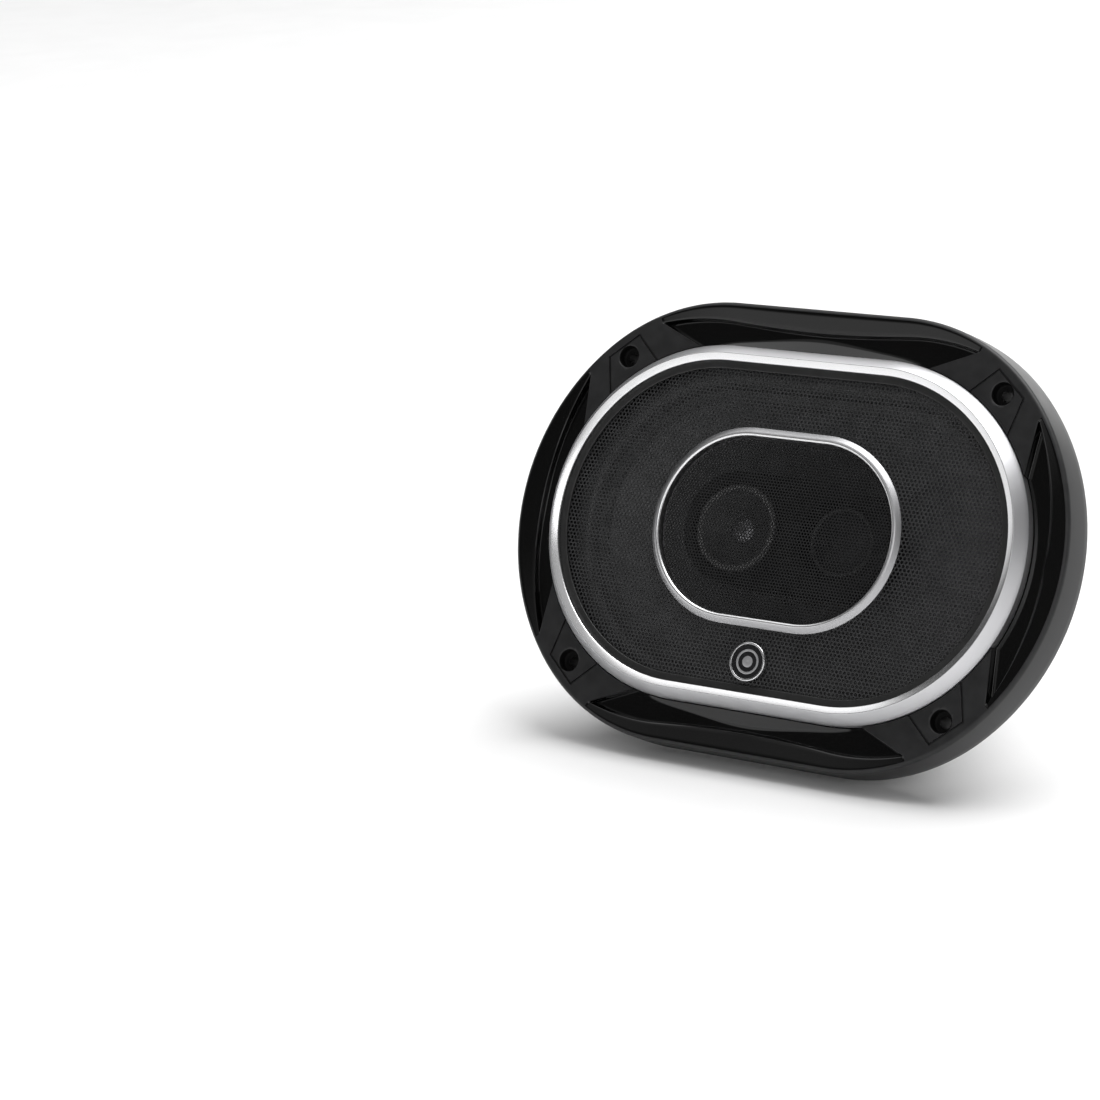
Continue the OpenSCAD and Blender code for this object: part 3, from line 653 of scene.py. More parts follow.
def rounded(
    points: Sequence[Sequence[float]], radius: float | Sequence[float], steps: int = 4
) -> np.ndarray:
    """A closed polygon with each corner replaced by a quadratic curve between its cut-back points.

    Args:
        points: corners in order.
        radius: how far each corner is cut back, one for all or one each.
        steps: segments in each arc.

    Returns:
        The finer polygon.
    """
    p = np.array(points, float)
    r = np.full(len(p), radius) if np.isscalar(radius) else np.array(radius, float)
    before, after = np.roll(p, 1, 0) - p, np.roll(p, -1, 0) - p
    to_before = before / np.linalg.norm(before, axis=1, keepdims=True)
    to_after = after / np.linalg.norm(after, axis=1, keepdims=True)
    shorter = np.minimum(np.linalg.norm(before, axis=1), np.linalg.norm(after, axis=1))
    reach = np.minimum(r, 0.49 * shorter)[:, None]
    start, end = p + to_before * reach, p + to_after * reach
    t = np.linspace(0, 1, steps + 1)[None, :, None]
    curve = start[:, None] * (1 - t) ** 2 + 2 * p[:, None] * t * (1 - t) + end[:, None] * t**2
    return curve.reshape(-1, 2)


def lathe(profile: np.ndarray, steps: int = 160, groups: Sequence[int] | None = None) -> Shape:
    """A closed profile turned round the axis.

    Args:
        profile: rows of radius and z.
        steps: points in each circle.
        groups: a finish number for the strip after each row.

    Returns:
        The turned shape.
    """
    a = np.linspace(0, math.tau, steps, endpoint=False)
    r, z = profile[:, 0, None], profile[:, 1, None]
    loops = np.stack([r * np.cos(a), r * np.sin(a), z * np.ones_like(a)], axis=-1)
    return ring_shape(loops, groups)


def prism(outline: np.ndarray, low: float, high: float) -> Shape:
    """A flat outline carried from one height to another, capped.

    Args:
        outline: rows of x and v.
        low: z of one end.
        high: z of the other.

    Returns:
        The prism.
    """
    flat = np.asarray(outline, float)
    loops = [np.column_stack([flat, np.full(len(flat), z)]) for z in (low, high)]
    return bar_shape(np.array(loops))


def disc_outline(radius: float, steps: int = 40, x: float = 0.0, v: float = 0.0) -> np.ndarray:
    """Points of a circle."""
    a = np.linspace(0, math.tau, steps, endpoint=False)
    return np.column_stack([x + radius * np.cos(a), v + radius * np.sin(a)])


@dataclass(frozen=True)
class Oval:
    """A racetrack about a straight spine: its points are the spine's, plus a radius times the normal."""

    flat: float
    arc_steps: int = 104
    flat_steps: int = 20

    def spine(self) -> tuple[np.ndarray, np.ndarray]:
        """Spine points and outward normals once round, counter-clockwise from the lower right."""
        half = self.flat / 2
        arc = np.linspace(-math.pi / 2, math.pi / 2, self.arc_steps, endpoint=False)
        run = np.linspace(1, -1, self.flat_steps, endpoint=False)
        up = np.full(self.flat_steps, math.pi / 2)
        angle = np.concatenate([arc, up, arc + math.pi, -up])
        x = half * np.concatenate([np.ones_like(arc), run, -np.ones_like(arc), -run])
        points = np.column_stack([x, np.zeros_like(x)])
        return points, np.column_stack([np.cos(angle), np.sin(angle)])

    def loops(self, section: np.ndarray, share: np.ndarray | float = 1.0) -> np.ndarray:
        """Loops for a section of radius and z.

        Args:
            section: rows of radius and z.
            share: how much of the spine's length each loop keeps, 0 for a circle.

        Returns:
            Array of loops by points by three.
        """
        spine, normal = self.spine()
        keep = np.broadcast_to(np.asarray(share, float), (len(section),))
        flat = keep[:, None, None] * spine + section[:, 0, None, None] * normal
        z = np.broadcast_to(section[:, 1, None, None], (*flat.shape[:2], 1))
        return np.concatenate([flat, z], axis=-1)

    def distance(self, x: np.ndarray, v: np.ndarray) -> np.ndarray:
        """Distance of points from the spine."""
        return np.hypot(np.maximum(np.abs(x) - self.flat / 2, 0), v)


@dataclass(frozen=True)
class TrayOutline:
    """The tray's outline: end arcs, rounder corner arcs, and straight top and bottom edges."""

    half_width: float = 127.5
    half_height: float = 93.5
    half_flat: float = 39.5
    corner: float = 84.0

    def end_centre(self) -> float:
        """x of the centre of the end arc, which meets the corner arc smoothly."""
        gap = self.half_width - self.half_flat - self.corner
        rise = self.half_height - self.corner
        return ((self.half_width - self.corner) ** 2 - self.half_flat**2 - rise**2) / (2 * gap)

    def join(self) -> float:
        """Angle at which the end arc meets the corner arc."""
        return math.atan2(self.half_height - self.corner, self.half_flat - self.end_centre())

    def lengths(self) -> tuple[float, float, float]:
        """Lengths along a quarter to the end of the end arc, of the corner arc and of the straight."""
        first = (self.half_width - self.end_centre()) * self.join()
        second = first + self.corner * (math.pi / 2 - self.join())
        return first, second, second + self.half_flat

    def quarter(self, length: np.ndarray, inset: np.ndarray) -> np.ndarray:
        """Points at lengths along the first quarter from the long axis, moved inwards by inset."""
        first, second, _ = self.lengths()
        centre, radius = self.end_centre(), self.half_width - self.end_centre()
        on_end = length < first
        turned = self.join() + (np.minimum(length, second) - first) / self.corner
        angle = np.where(on_end, length / radius, turned)
        r = np.where(on_end, radius, self.corner) - inset
        slide = np.maximum(length - second, 0)
        x = np.where(on_end, centre, self.half_flat) + r * np.cos(angle) - slide
        v = np.where(on_end, 0.0, self.half_height - self.corner) + r * np.sin(angle)
        return np.column_stack([x, v])


def all_quarters(quarter: np.ndarray) -> np.ndarray:
    """Loops round the whole oval from loops over its first quarter, which ends on both axes.

    Args:
        quarter: loops by points by three, from the long axis to the short axis.

    Returns:
        Loops in the same form, all the way round.
    """
    second = quarter[:, ::-1][:, 1:] * np.array([-1, 1, 1])
    half = np.concatenate([quarter, second], axis=1)
    lower = half[:, 1:-1] * np.array([-1, -1, 1])
    return np.concatenate([half, lower], axis=1)


# ---------------------------------------------------------------- pieces


class Workshop:
    """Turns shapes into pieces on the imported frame."""

    def __init__(self, frame: dict) -> None:
        self.nodes = frame["nodes"]
        self.palette = Palette()
        self.slots = {s["node"]: s["material_slot"] for s in frame["record"]["subparts"]}

    def combine(self, base: Shape, tools: Sequence[tuple[str, Shape]], name: str) -> bpy.types.Mesh:
        """Joins and cuts closed shapes.

        Args:
            base: the shape to start from.
            tools: pairs of UNION or DIFFERENCE and a shape, applied in order.
            name: name of the result.

        Returns:
            A mesh in millimetres.
        """
        target = bpy.data.objects.new(name + "_work", base.mesh(name + "_base"))
        bpy.context.scene.collection.objects.link(target)
        helpers = []
        for operation, shape in tools:
            helper = bpy.data.objects.new(name + "_tool", shape.mesh(name + "_tool"))
            bpy.context.scene.collection.objects.link(helper)
            helpers.append(helper)
            step = target.modifiers.new("step", "BOOLEAN")
            step.operation, step.object, step.solver = operation, helper, "MANIFOLD"
        bpy.context.view_layer.update()
        seen = target.evaluated_get(bpy.context.evaluated_depsgraph_get())
        result = bpy.data.meshes.new_from_object(seen)
        for thing in (target, *helpers):
            bpy.data.objects.remove(thing)
        return result

    def piece(
        self,
        name: str,
        source: Shape | bpy.types.Mesh,
        body: Body | tuple[Body, Body, np.ndarray, np.ndarray],
        finishes: Sequence[Finish],
        stands_for: Sequence[str],
        sharp: float = 34.0,
        uv: np.ndarray | None = None,
    ) -> bpy.types.Object:
        """Makes a piece and dresses it; a piece given one body is fastened to it, one given two is fastened
        to neither.

        Args:
            name: the piece's name.
            source: its shape, or a mesh in millimetres.
            body: the body it rides on, or two bodies with a start and an end; with two, the start and end
                are worked out but not used.
            finishes: one finish for each number used by the faces.
            stands_for: CAD nodes that it replaces.
            sharp: angle in degrees above which an edge stays sharp.
            uv: a map value for each point, where the finish needs one.

        Returns:
            The piece.
        """
        mesh = source.mesh(name) if isinstance(source, Shape) else source
        mesh.name = name
        placed = STANCE.world(read(mesh.vertices, "co", 3))
        mesh.vertices.foreach_set("co", placed.astype(np.float32).ravel())
        if uv is not None:
            corner = read(mesh.loops, "vertex_index", 1, np.int32)
            layer = mesh.uv_layers.new(name="UVMap")
            layer.data.foreach_set("uv", uv[corner].astype(np.float32).ravel())
        numbers = read(mesh.polygons, "material_index", 1, np.int32)
        self.coat(mesh, finishes, sharp)
        mesh.polygons.foreach_set("material_index", np.minimum(numbers, len(finishes) - 1))
        mesh.update()
        made = bpy.data.objects.new(name, mesh)
        bpy.context.scene.collection.objects.link(made)
        if isinstance(body, Body):
            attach(made, body.value)
        else:
            start, end = (tuple(STANCE.world(p)) for p in body[2:])
            body[0].value
            body[1].value
            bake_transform(made)
        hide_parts(*stands_for)
        self.slots[stands_for[0]]
        LOG.info("%s: %d faces on %s", name, len(mesh.polygons), body)
        return made

    def coat(self, mesh: bpy.types.Mesh, finishes: Sequence[Finish], sharp: float) -> None:
        """Puts finishes on a mesh and shades it smooth, but for its sharp edges.

        Args:
            mesh: the mesh.
            finishes: what takes the place of its finishes.
            sharp: angle in degrees above which an edge stays sharp.
        """
        mesh.materials.clear()
        for finish in finishes:
            mesh.materials.append(self.palette[finish])
        mesh.polygons.foreach_set("use_smooth", np.ones(len(mesh.polygons), bool))
        mesh.set_sharp_from_angle(angle=math.radians(sharp))

    def dress(self, finishes: dict[str, Finish]) -> None:
        """Gives each CAD node that keeps its shape a finish."""
        for node, finish in finishes.items():
            data = self.nodes[node].data
            data.materials.clear()
            data.materials.append(self.palette[finish])
            LOG.info("%s: CAD node in %s", node, finish.name)

    def softened(self, name: str, node: str, body: Body, finish: Finish, edge: float) -> bpy.types.Object:
        """A copy of a CAD node with its doubles merged and its edges rounded.

        Args:
            name: the piece's name.
            node: the CAD node.
            body: the body it rides on.
            finish: its finish.
            edge: width of the rounding, in millimetres.

        Returns:
            The piece.
        """
        mesh = self.nodes[node].data.copy()
        mesh.name = name
        work = bmesh.new()
        work.from_mesh(mesh)
        bmesh.ops.remove_doubles(work, verts=work.verts, dist=MERGE_M)
        flat = math.radians(1.0)
        bmesh.ops.dissolve_limit(work, angle_limit=flat, verts=work.verts, edges=work.edges)
        work.to_mesh(mesh)
        work.free()
        self.coat(mesh, [finish], 34.0)
        made = bpy.data.objects.new(name, mesh)
        bpy.context.scene.collection.objects.link(made)
        bevel = made.modifiers.new("edge", "BEVEL")
        bevel.width, bevel.segments, bevel.limit_method = edge * MM, 2, "ANGLE"
        bevel.angle_limit, bevel.harden_normals = math.radians(40), False
        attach(made, body.value)
        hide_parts(node)
        self.slots[node]
        LOG.info("%s: softened copy of %s", name, node)
        return made


@dataclass(frozen=True)
class Tip:
    """Where a channel ends: lengths along the tray's inner edge and outline, and the land's inset there."""

    inner: float
    outer: float
    inset: float


@dataclass
class GrilleTray:
    """The black tray: polished channels between four screw panels, a satin land and a rolled outer wall.

    Between the channels' inner edge and the land, each channel is a floor at depth below the rise. Its tips
    are end_tip at the ends of the oval and side_tip along the sides. groove is the bent line round a screw
    panel, measured from the panel's hole.
    """

    outline: TrayOutline = TrayOutline()
    ring: Oval = Oval(72.0)
    inner: float = 75.0
    ledge: float = 70.3
    rise: float = 18.0
    depth: float = 4.0
    deck: float = 12.0
    roll_height: float = 2.0
    roll_width: float = 2.2
    dish: float = 1.9
    wall_draft: float = 0.5
    lip: float = 1.5
    lens_width: float = 6.0
    lens_span: float = 48.0
    lens_height: float = 2.3
    wall: float = 2.6
    back: float = 0.6
    hole: tuple[float, float] = (87.22, 65.56)
    hole_radius: float = 2.4
    sink_radius: float = 4.7
    sink_depth: float = 4.6
    boss_radius: float = 4.6
    end_tip: Tip = Tip(35.6, 63.8, 3.7)
    side_tip: Tip = Tip(99.9, 104.6, 4.2)
    land: float = 10.0
    groove: tuple[tuple[float, float], ...] = ((5.2, -17.5), (9.4, -1.1), (-3.2, 9.6), (-15.5, -1.6))
    groove_width: float = 0.9
    groove_depth: float = 0.9
    tip_fade: float = 1.3

    def roll(self, inset: np.ndarray) -> np.ndarray:
        """Height of the land: a quarter ellipse that falls away over the last millimetres to the edge."""
        reach = np.clip(1 - inset / self.roll_width, 0, 1)
        return self.rise - self.roll_height * (1 - np.sqrt(1 - reach**2))

    def sloped(self, inset: np.ndarray, share: np.ndarray) -> np.ndarray:
        """How far the land beside a channel falls towards it: a straight slope from the crest inwards."""
        run = (inset - self.roll_width) / (self.land - self.roll_width)
        return self.dish * share * np.clip(run, 0, 1)

    def lines(self) -> tuple[np.ndarray, np.ndarray, np.ndarray, np.ndarray]:
        """Where each grid line starts and ends over a quarter.

        Returns:
            Length along the inner edge, length along the outline, inset of the land's inner edge, and
            how deep the channel is there, from 0 to 1.
        """
        inner_total = self.inner * math.pi / 2 + self.ring.flat / 2
        outer_total = self.outline.lengths()[2]
        near = 1 - np.array([1.0, 0.93, 0.8, 0.6, 0.35, 0.15, 0.04, 0.0])
        edge = self.tip_fade
        a = np.concatenate([np.linspace(0, 1, 44)[:-1] * (1 - edge / self.end_tip.outer),
                            1 - (1 - near) * edge / self.end_tip.outer])
        b = np.linspace(0, 1, 44)[1:-1]
        run = outer_total - self.side_tip.outer
        rest = np.linspace(0, 1, 50)[1:]
        c = np.concatenate([near * edge / run, edge / run + rest * (1 - edge / run)])
        inner = np.concatenate([
            a * self.end_tip.inner, self.end_tip.inner + b * (self.side_tip.inner - self.end_tip.inner),
            self.side_tip.inner + c * (inner_total - self.side_tip.inner)])
        outer = np.concatenate([
            a * self.end_tip.outer, self.end_tip.outer + b * (self.side_tip.outer - self.end_tip.outer),
            self.side_tip.outer + c * run])
        inset = np.concatenate([
            self.land - (self.land - self.end_tip.inset) * a**2,
            self.end_tip.inset + b * (self.side_tip.inset - self.end_tip.inset),
            self.land - (self.land - self.side_tip.inset) * (1 - c) ** 2])
        gap = np.concatenate([(1 - a) * self.end_tip.outer, np.zeros_like(b), c * run]) / edge
        return inner, outer, inset, smooth(np.clip(gap, 0, 1))

    def shell(self) -> Shape:
        """The moulding without its holes: rows run from the inner edge over the land and back below."""
        along, out, inset, cut = self.lines()
        angle = np.minimum(along / self.inner, math.pi / 2)
        slide = np.maximum(along - self.inner * math.pi / 2, 0)
        half = self.ring.flat / 2

        def track(r: float) -> np.ndarray:
            """Points at distance r from the spine on each grid line."""
            return np.column_stack([half + r * np.cos(angle) - slide, r * np.sin(angle)])

        start, land = track(self.inner), self.outline.quarter(out, inset)
        width = np.linalg.norm(land - start, axis=1)
        reach = self.lens_width * np.clip(1 - ((along[-1] - along) / self.lens_span) ** 2, 0, 1)
        narrow = np.maximum(reach, 0.9)
        near = np.array([0.07, 0.25, 0.5, 0.75, 0.93, 1.0])
        # Rows from the inner edge: over the lens facet, across the channel's floor, then up its wall.
        steps = [narrow * k / 3 for k in range(4)]
        steps += [narrow + (width - self.lip - narrow) * u for u in np.linspace(0, 1, 11)[1:]]
        steps += [width - self.lip * (1 - u) for u in near]
        loops = []
        floor = self.rise - self.depth
        for gone in steps:
            flat = start + (land - start) * (gone / width)[:, None]
            edge = np.clip((width - gone) / self.lip, 0, 1)
            share = cut * smooth(edge)
            top = self.roll(inset + width - gone) - self.sloped(inset + width - gone, cut)
            raised = self.lens_height * reach / self.lens_width * np.clip(1 - gone / narrow, 0, 1)
            loops.append(np.column_stack([flat, top + (floor + raised - top) * share]))
        # Rows from the land to the outer edge: down its slope, then over the roll.
        slope_rows = [inset + (self.roll_width - inset) * u for u in np.linspace(0, 1, 6)[1:]]
        crest_rows = [np.full_like(inset, self.roll_width * (1 - u) ** 1.5)
                      for u in np.linspace(0, 1, 9)[1:]]
        for away in slope_rows + crest_rows:
            height = self.roll(away) - self.sloped(away, cut)
            draft = self.wall_draft * np.clip(1 - away / self.roll_width, 0, 1)
            loops.append(np.column_stack([self.outline.quarter(out, away + draft), height]))
        foot = [(0.0, self.back + 4.0), (0.0, self.back + 0.6), (0.2, self.back + 0.15), (0.6, self.back),
                (self.wall - 0.4, self.back), (self.wall, self.back + 0.4), (self.wall, self.deck)]
        loops += [np.column_stack([self.outline.quarter(out, np.full_like(out, d)), np.full_like(out, z)])
                  for d, z in foot]
        deck, ledge = self.deck, self.ledge
        under = [(self.inner + 3, deck), (self.inner + 2, deck - 2), (ledge + 0.3, deck - 2),
                 (ledge, deck - 1.7), (ledge, deck - 0.3), (ledge + 0.3, deck),
                 (self.inner, deck), (self.inner, deck + 1.0)]
        loops += [np.column_stack([track(r), np.full_like(along, z)]) for r, z in under]
        shape = ring_shape(all_quarters(np.array(loops)))
        quarter_cut = np.concatenate([cut, cut[::-1][1:]])
        around = np.concatenate([quarter_cut, quarter_cut[1:-1]])
        strip = np.minimum(around, np.roll(around, -1)) > 0.02
        last = len(steps) + len(slope_rows) - 1
        polished = (np.arange(len(loops)) < last)[:, None] & strip
        shape.groups = polished.astype(int).ravel().tolist()
        return shape

    def panel_groove(self) -> Shape:
        """A narrow trench that outlines a screw panel: a rectangle's section carried along a bent line."""
        path = np.array(self.groove) + np.array(self.hole)
        step = np.diff(path, axis=0)
        side = np.column_stack([-step[:, 1], step[:, 0]]) / np.linalg.norm(step, axis=1, keepdims=True)
        mitre = np.vstack([side[:1], side[:-1] + side[1:], side[-1:]])
        mitre /= (mitre * np.vstack([side[:1], side])).sum(1, keepdims=True)
        left, right = path + mitre * self.groove_width / 2, path - mitre * self.groove_width / 2
        low, high = self.rise - self.groove_depth, self.rise + 2
        sides = ((left, low), (right, low), (right, high), (left, high))
        loops = [np.column_stack([edge, np.full(len(path), z)]) for edge, z in sides]
        return bar_shape(np.stack(loops, axis=1))

    def build(self, shop: Workshop) -> None:
        """Makes the tray."""
        x, v = self.hole
        boss = prism(disc_outline(self.boss_radius, 48, x, v), 2.05, self.deck + 0.6)
        bore = prism(disc_outline(self.hole_radius, 48, x, v), -1.0, self.rise + 2)
        low, r = self.rise - self.sink_depth, self.sink_radius
        profile = [(0.001, low), (r - 0.6, low), (r, low + 0.6), (r, self.rise - 0.3),
                   (r + 0.5, self.rise + 0.2), (r + 0.5, self.rise + 3), (0.001, self.rise + 3)]
        sink = lathe(rounded(profile, 0.2, 2), 56).moved(x, v)
        tools = [("UNION", boss), ("DIFFERENCE", sink), ("DIFFERENCE", bore),
                 ("DIFFERENCE", self.panel_groove())]
        steps = [(how, tool.mirrored(*signs)) for signs in QUARTERS for how, tool in tools]
        mesh = shop.combine(self.shell(), steps, "tray_moulding")
        middle = read(mesh.polygons, "center", 3)
        numbers = read(mesh.polygons, "material_index", 1, np.int32)
        away = np.hypot(np.abs(middle[:, 0]) - x, np.abs(middle[:, 1]) - v)
        finishes = [Palette.SATIN_TRAY, Palette.GLOSS_CHANNEL, Palette.SINK_SHADE]
        # Faces inside each screw sink and bore get painted shade: near-black, with little sheen.
        shaded_sink = (away < r + 0.05) & (middle[:, 2] < self.rise - 0.3)
        numbers[shaded_sink] = finishes.index(Palette.SINK_SHADE)
        mesh.polygons.foreach_set("material_index", numbers)
        shop.piece("tray_moulding", mesh, Body.CHASSIS, finishes, ["grille_tray"], sharp=48)


@dataclass
class LiftOffGrille:
    """Silver rings, black band, perforated sheets and badge, which come off the tray together."""

    ring: Oval = Oval(72.0)
    inner_ring: Oval = Oval(33.0, 88, 14)
    ring_radius: float = 67.0
    ring_outer: float = 74.5
    crest: float = 24.0
    crest_radius: float = 70.3
    bevel_foot: float = 21.6
    foot: float = 14.0
    edge_z: float = 19.8
    dome: float = 1.6
    mesh_thick: float = 0.45
    inner_radius: float = 37.0
    inner_outer: float = 40.8
    badge_v: float = -54.7
    badge_radius: float = 8.25
    stud_radius: float = 1.3
    big_cell: tuple[float, float] = (1.8, 0.75)
    small_cell: tuple[float, float] = (1.4, 0.55)
    sheet_span: tuple[float, float] = (240.0, 150.0)

    def silver_ring(self, shop: Workshop) -> None:
        """The big ring: a satin slope outside, a bright bevel inside."""
        r, top = self.ring_radius, self.crest_radius
        corners = [(72.6, self.foot), (self.ring_outer, self.foot), (self.ring_outer, 18.3), (73.7, 19.5),
                   (top, self.crest), (r + 0.5, 22.6), (r + 0.25, 22.1), (r + 0.5, 21.0),
                   (r + 2.5, 21.0), (72.0, 18.4)]
        cuts = [0.2, 0.2, 0.3, 0.5, 0.3, 0.25, 0.2, 0.1, 0.2, 0.3]
        section = rounded(corners, cuts)
        bright = [1 if top > p[0] > r and p[1] > self.bevel_foot else 0 for p in section]
        shop.piece("silver_ring", ring_shape(self.ring.loops(section), bright), Body.GRILLE,
                   [Palette.SATIN_SILVER, Palette.BRIGHT_SILVER], ["trim_ring"], sharp=60)

    def black_band(self, shop: Workshop) -> None:
        """The moulded band that carries the sheet inside the silver ring."""
        r = self.ring_radius
        corners = [(r + 2.6, 12.1), (r + 4.6, 12.1), (r + 4.6, 17.0), (r + 2.0, 20.8), (r - 2.8, 20.8),
                   (r - 2.8, 19.9), (r + 1.8, 19.9), (r + 2.6, 16.4)]
        section = rounded(corners, [0.3, 0.3, 0.6, 0.6, 0.5, 0.15, 0.2, 0.4], 3)
        shop.piece("mesh_band", ring_shape(self.ring.loops(section)), Body.GRILLE,
                   [Palette.BLACK_BAND], ["mesh_carrier"])

    def height(self, x: np.ndarray, v: np.ndarray) -> np.ndarray:
        """Height of the big sheet: a soft rise from its border to the inner ring."""
        out = np.maximum(self.ring_radius - 2.9 - self.ring.distance(x, v), 0)
        inside = np.maximum(self.inner_ring.distance(x, v) - self.inner_radius - 1.1, 0)
        share = out / np.maximum(out + inside, 1e-6)
        return self.edge_z + self.dome * (1 - (1 - share) ** 2.1)

    def perforated(self, cell: tuple[float, float], keep: FaceMap, height: FaceMap) -> Shape:
        """A sheet of hexagonal cells, each with a hexagonal hole.

        Cells stand on a lattice of equilateral triangles. Neighbours share the corners between them, and
        the sheet's free edge is closed by a wall.

        Args:
            cell: distance between hole centres, and distance of a hole's corners from its centre.
            keep: tells from x and v which cells stay.
            height: top of the sheet from x and v.

        Returns:
            The sheet.
        """
        pitch, hole = cell
        row = pitch * math.sqrt(3) / 2
        count_x, count_v = (int(span / step) + 2 for span, step in zip(self.sheet_span, (pitch, row)))
        i, j = np.meshgrid(np.arange(count_x) - count_x // 2, np.arange(count_v) - count_v // 2)
        cx = pitch * (i + 0.5 * (j % 2)).ravel()
        cv = row * j.ravel()
        stay = keep(cx, cv)
        cx, cv = cx[stay], cv[stay]
        angle = np.radians(30 + 60 * np.arange(6))
        corner = pitch / math.sqrt(3)
        outer, inner = (np.stack([cx[:, None] + r * np.cos(angle), cv[:, None] + r * np.sin(angle)], -1)
                        for r in (corner, hole))
        key = np.round(outer.reshape(-1, 2) / (pitch * 0.05)).astype(np.int64)
        _, first, index = np.unique(key, axis=0, return_index=True, return_inverse=True)
        shared = outer.reshape(-1, 2)[first]
        index = index.reshape(-1, 6)
        flat = np.vstack([shared, inner.reshape(-1, 2)])
        top = np.column_stack([flat, height(flat[:, 0], flat[:, 1])])
        points = np.vstack([top, top - np.array([0, 0, self.mesh_thick])])
        rim = len(shared) + np.arange(len(cx) * 6).reshape(-1, 6)
        index2, rim2 = np.roll(index, -1, 1), np.roll(rim, -1, 1)
        low = len(flat)
        upper = np.stack([index, index2, rim2, rim], -1).reshape(-1, 4)
        lower = np.stack([rim, rim2, index2, index], -1).reshape(-1, 4) + low
        bore = np.stack([rim, rim2, rim2 + low, rim + low], -1).reshape(-1, 4)
        edges = np.stack([index, index2], -1).reshape(-1, 2)
        ordered = np.sort(edges, axis=1)
        _, back, seen = np.unique(ordered, axis=0, return_inverse=True, return_counts=True)
        free = edges[seen[back.ravel()] == 1]
        wall = np.column_stack([free[:, 1], free[:, 0], free[:, 0] + low, free[:, 1] + low])
        return Shape(points, np.vstack([upper, lower, bore, wall]).tolist())

    def sheets(self, shop: Workshop) -> None:
        """The big sheet between the rings, and the finer one inside the inner ring."""

        def big(x: np.ndarray, v: np.ndarray) -> np.ndarray:
            """Cells between the band and the inner ring, clear of the badge's stud."""
            inside = self.ring.distance(x, v) < self.ring_radius - 1.9
            outside = self.inner_ring.distance(x, v) > self.inner_radius + 2.2
            return inside & outside & (np.hypot(x, v - self.badge_v) > 2 * self.stud_radius)

        def small(x: np.ndarray, v: np.ndarray) -> np.ndarray:
            """Cells inside the inner ring."""
            return self.inner_ring.distance(x, v) < self.inner_radius - 1.1

        def level(x: np.ndarray, v: np.ndarray) -> np.ndarray:
            """The fine sheet lies flat, a little below the crown of the big one."""
            return np.full(len(x), self.edge_z + self.dome - 0.5)

        sheet = self.perforated(self.big_cell, big, self.height)
        shop.piece("perforated_sheet", sheet, Body.GRILLE, [Palette.COATED_MESH], ["main_mesh"])
        fine = self.perforated(self.small_cell, small, level)
        shop.piece("inner_perforated_sheet", fine, Body.GRILLE, [Palette.INNER_MESH], ["inner_mesh"])

    def inner_silver_ring(self, shop: Workshop) -> None:
        """The inner ring: a soft crest with a thin upright lip inside."""
        r, z = self.inner_radius, self.edge_z + self.dome
        corners = [(self.inner_outer, z + 0.05), (self.inner_outer, z + 0.6), (r + 1.7, self.crest - 0.25),
                   (r + 0.7, self.crest - 0.1), (r, self.crest - 0.7), (r, z - 1.8), (r + 1.0, z - 1.8),
                   (r + 1.0, z + 0.05)]
        section = rounded(corners, [0.1, 0.35, 0.5, 0.35, 0.3, 0.1, 0.1, 0.1])
        slope = [1 if p[0] > r + 1.5 and p[1] > z + 0.3 else 0 for p in section]
        shop.piece("inner_silver_ring", ring_shape(self.inner_ring.loops(section), slope), Body.GRILLE,
                   [Palette.INNER_SILVER, Palette.INNER_SLOPE], ["inner_trim_ring"], sharp=60)

    def badge(self, shop: Workshop) -> None:
        """A round badge: a polished rim, and a dished black face with plain raised rings."""
        r, z = self.badge_radius, self.edge_z + self.dome + 0.05
        rim = lathe(rounded([(0.001, z), (r, z), (r, z + 1.0), (r - 0.35, z + 1.8), (r - 1.05, z + 1.8),
                             (r - 1.2, z + 0.9), (0.001, z + 0.6)], [0, 0.2, 0.5, 0.3, 0.2, 0.2, 0], 4), 96)
        stem = self.stud_radius
        stud = lathe(np.array([(0.001, z - 3.6), (stem, z - 3.6), (stem, z + 0.1), (0.001, z + 0.1)]), 32)
        shop.piece("badge_bezel", (rim + stud).moved(v=self.badge_v), Body.GRILLE, [Palette.CHROME],
                   ["badge_rim"], sharp=50)
        top = z + 1.35
        face = lathe(rounded([(0.001, z + 0.7), (r - 1.25, z + 0.95), (r - 1.3, top), (0.001, top - 0.35)],
                             [0, 0.1, 0.15, 0], 3), 96)
        for a, b in ((0.02, 2.3), (4.2, 5.1)):
            section = [(a, top - 0.5), (b, top - 0.5), (b, top + 0.05), (a, top + 0.05)]
            mark = lathe(rounded(section, 0.12, 2), 64)
            mark.groups = [1] * len(mark.faces)
            face = face + mark
        shop.piece("badge_disc", face.moved(v=self.badge_v), Body.GRILLE,
                   [Palette.BADGE_BLACK, Palette.SATIN_SILVER], ["badge_face"], sharp=50)

    def build(self, shop: Workshop) -> None:
        """Makes the whole grille."""
        self.silver_ring(shop)
        self.black_band(shop)
        self.sheets(shop)
        self.inner_silver_ring(shop)
        self.badge(shop)


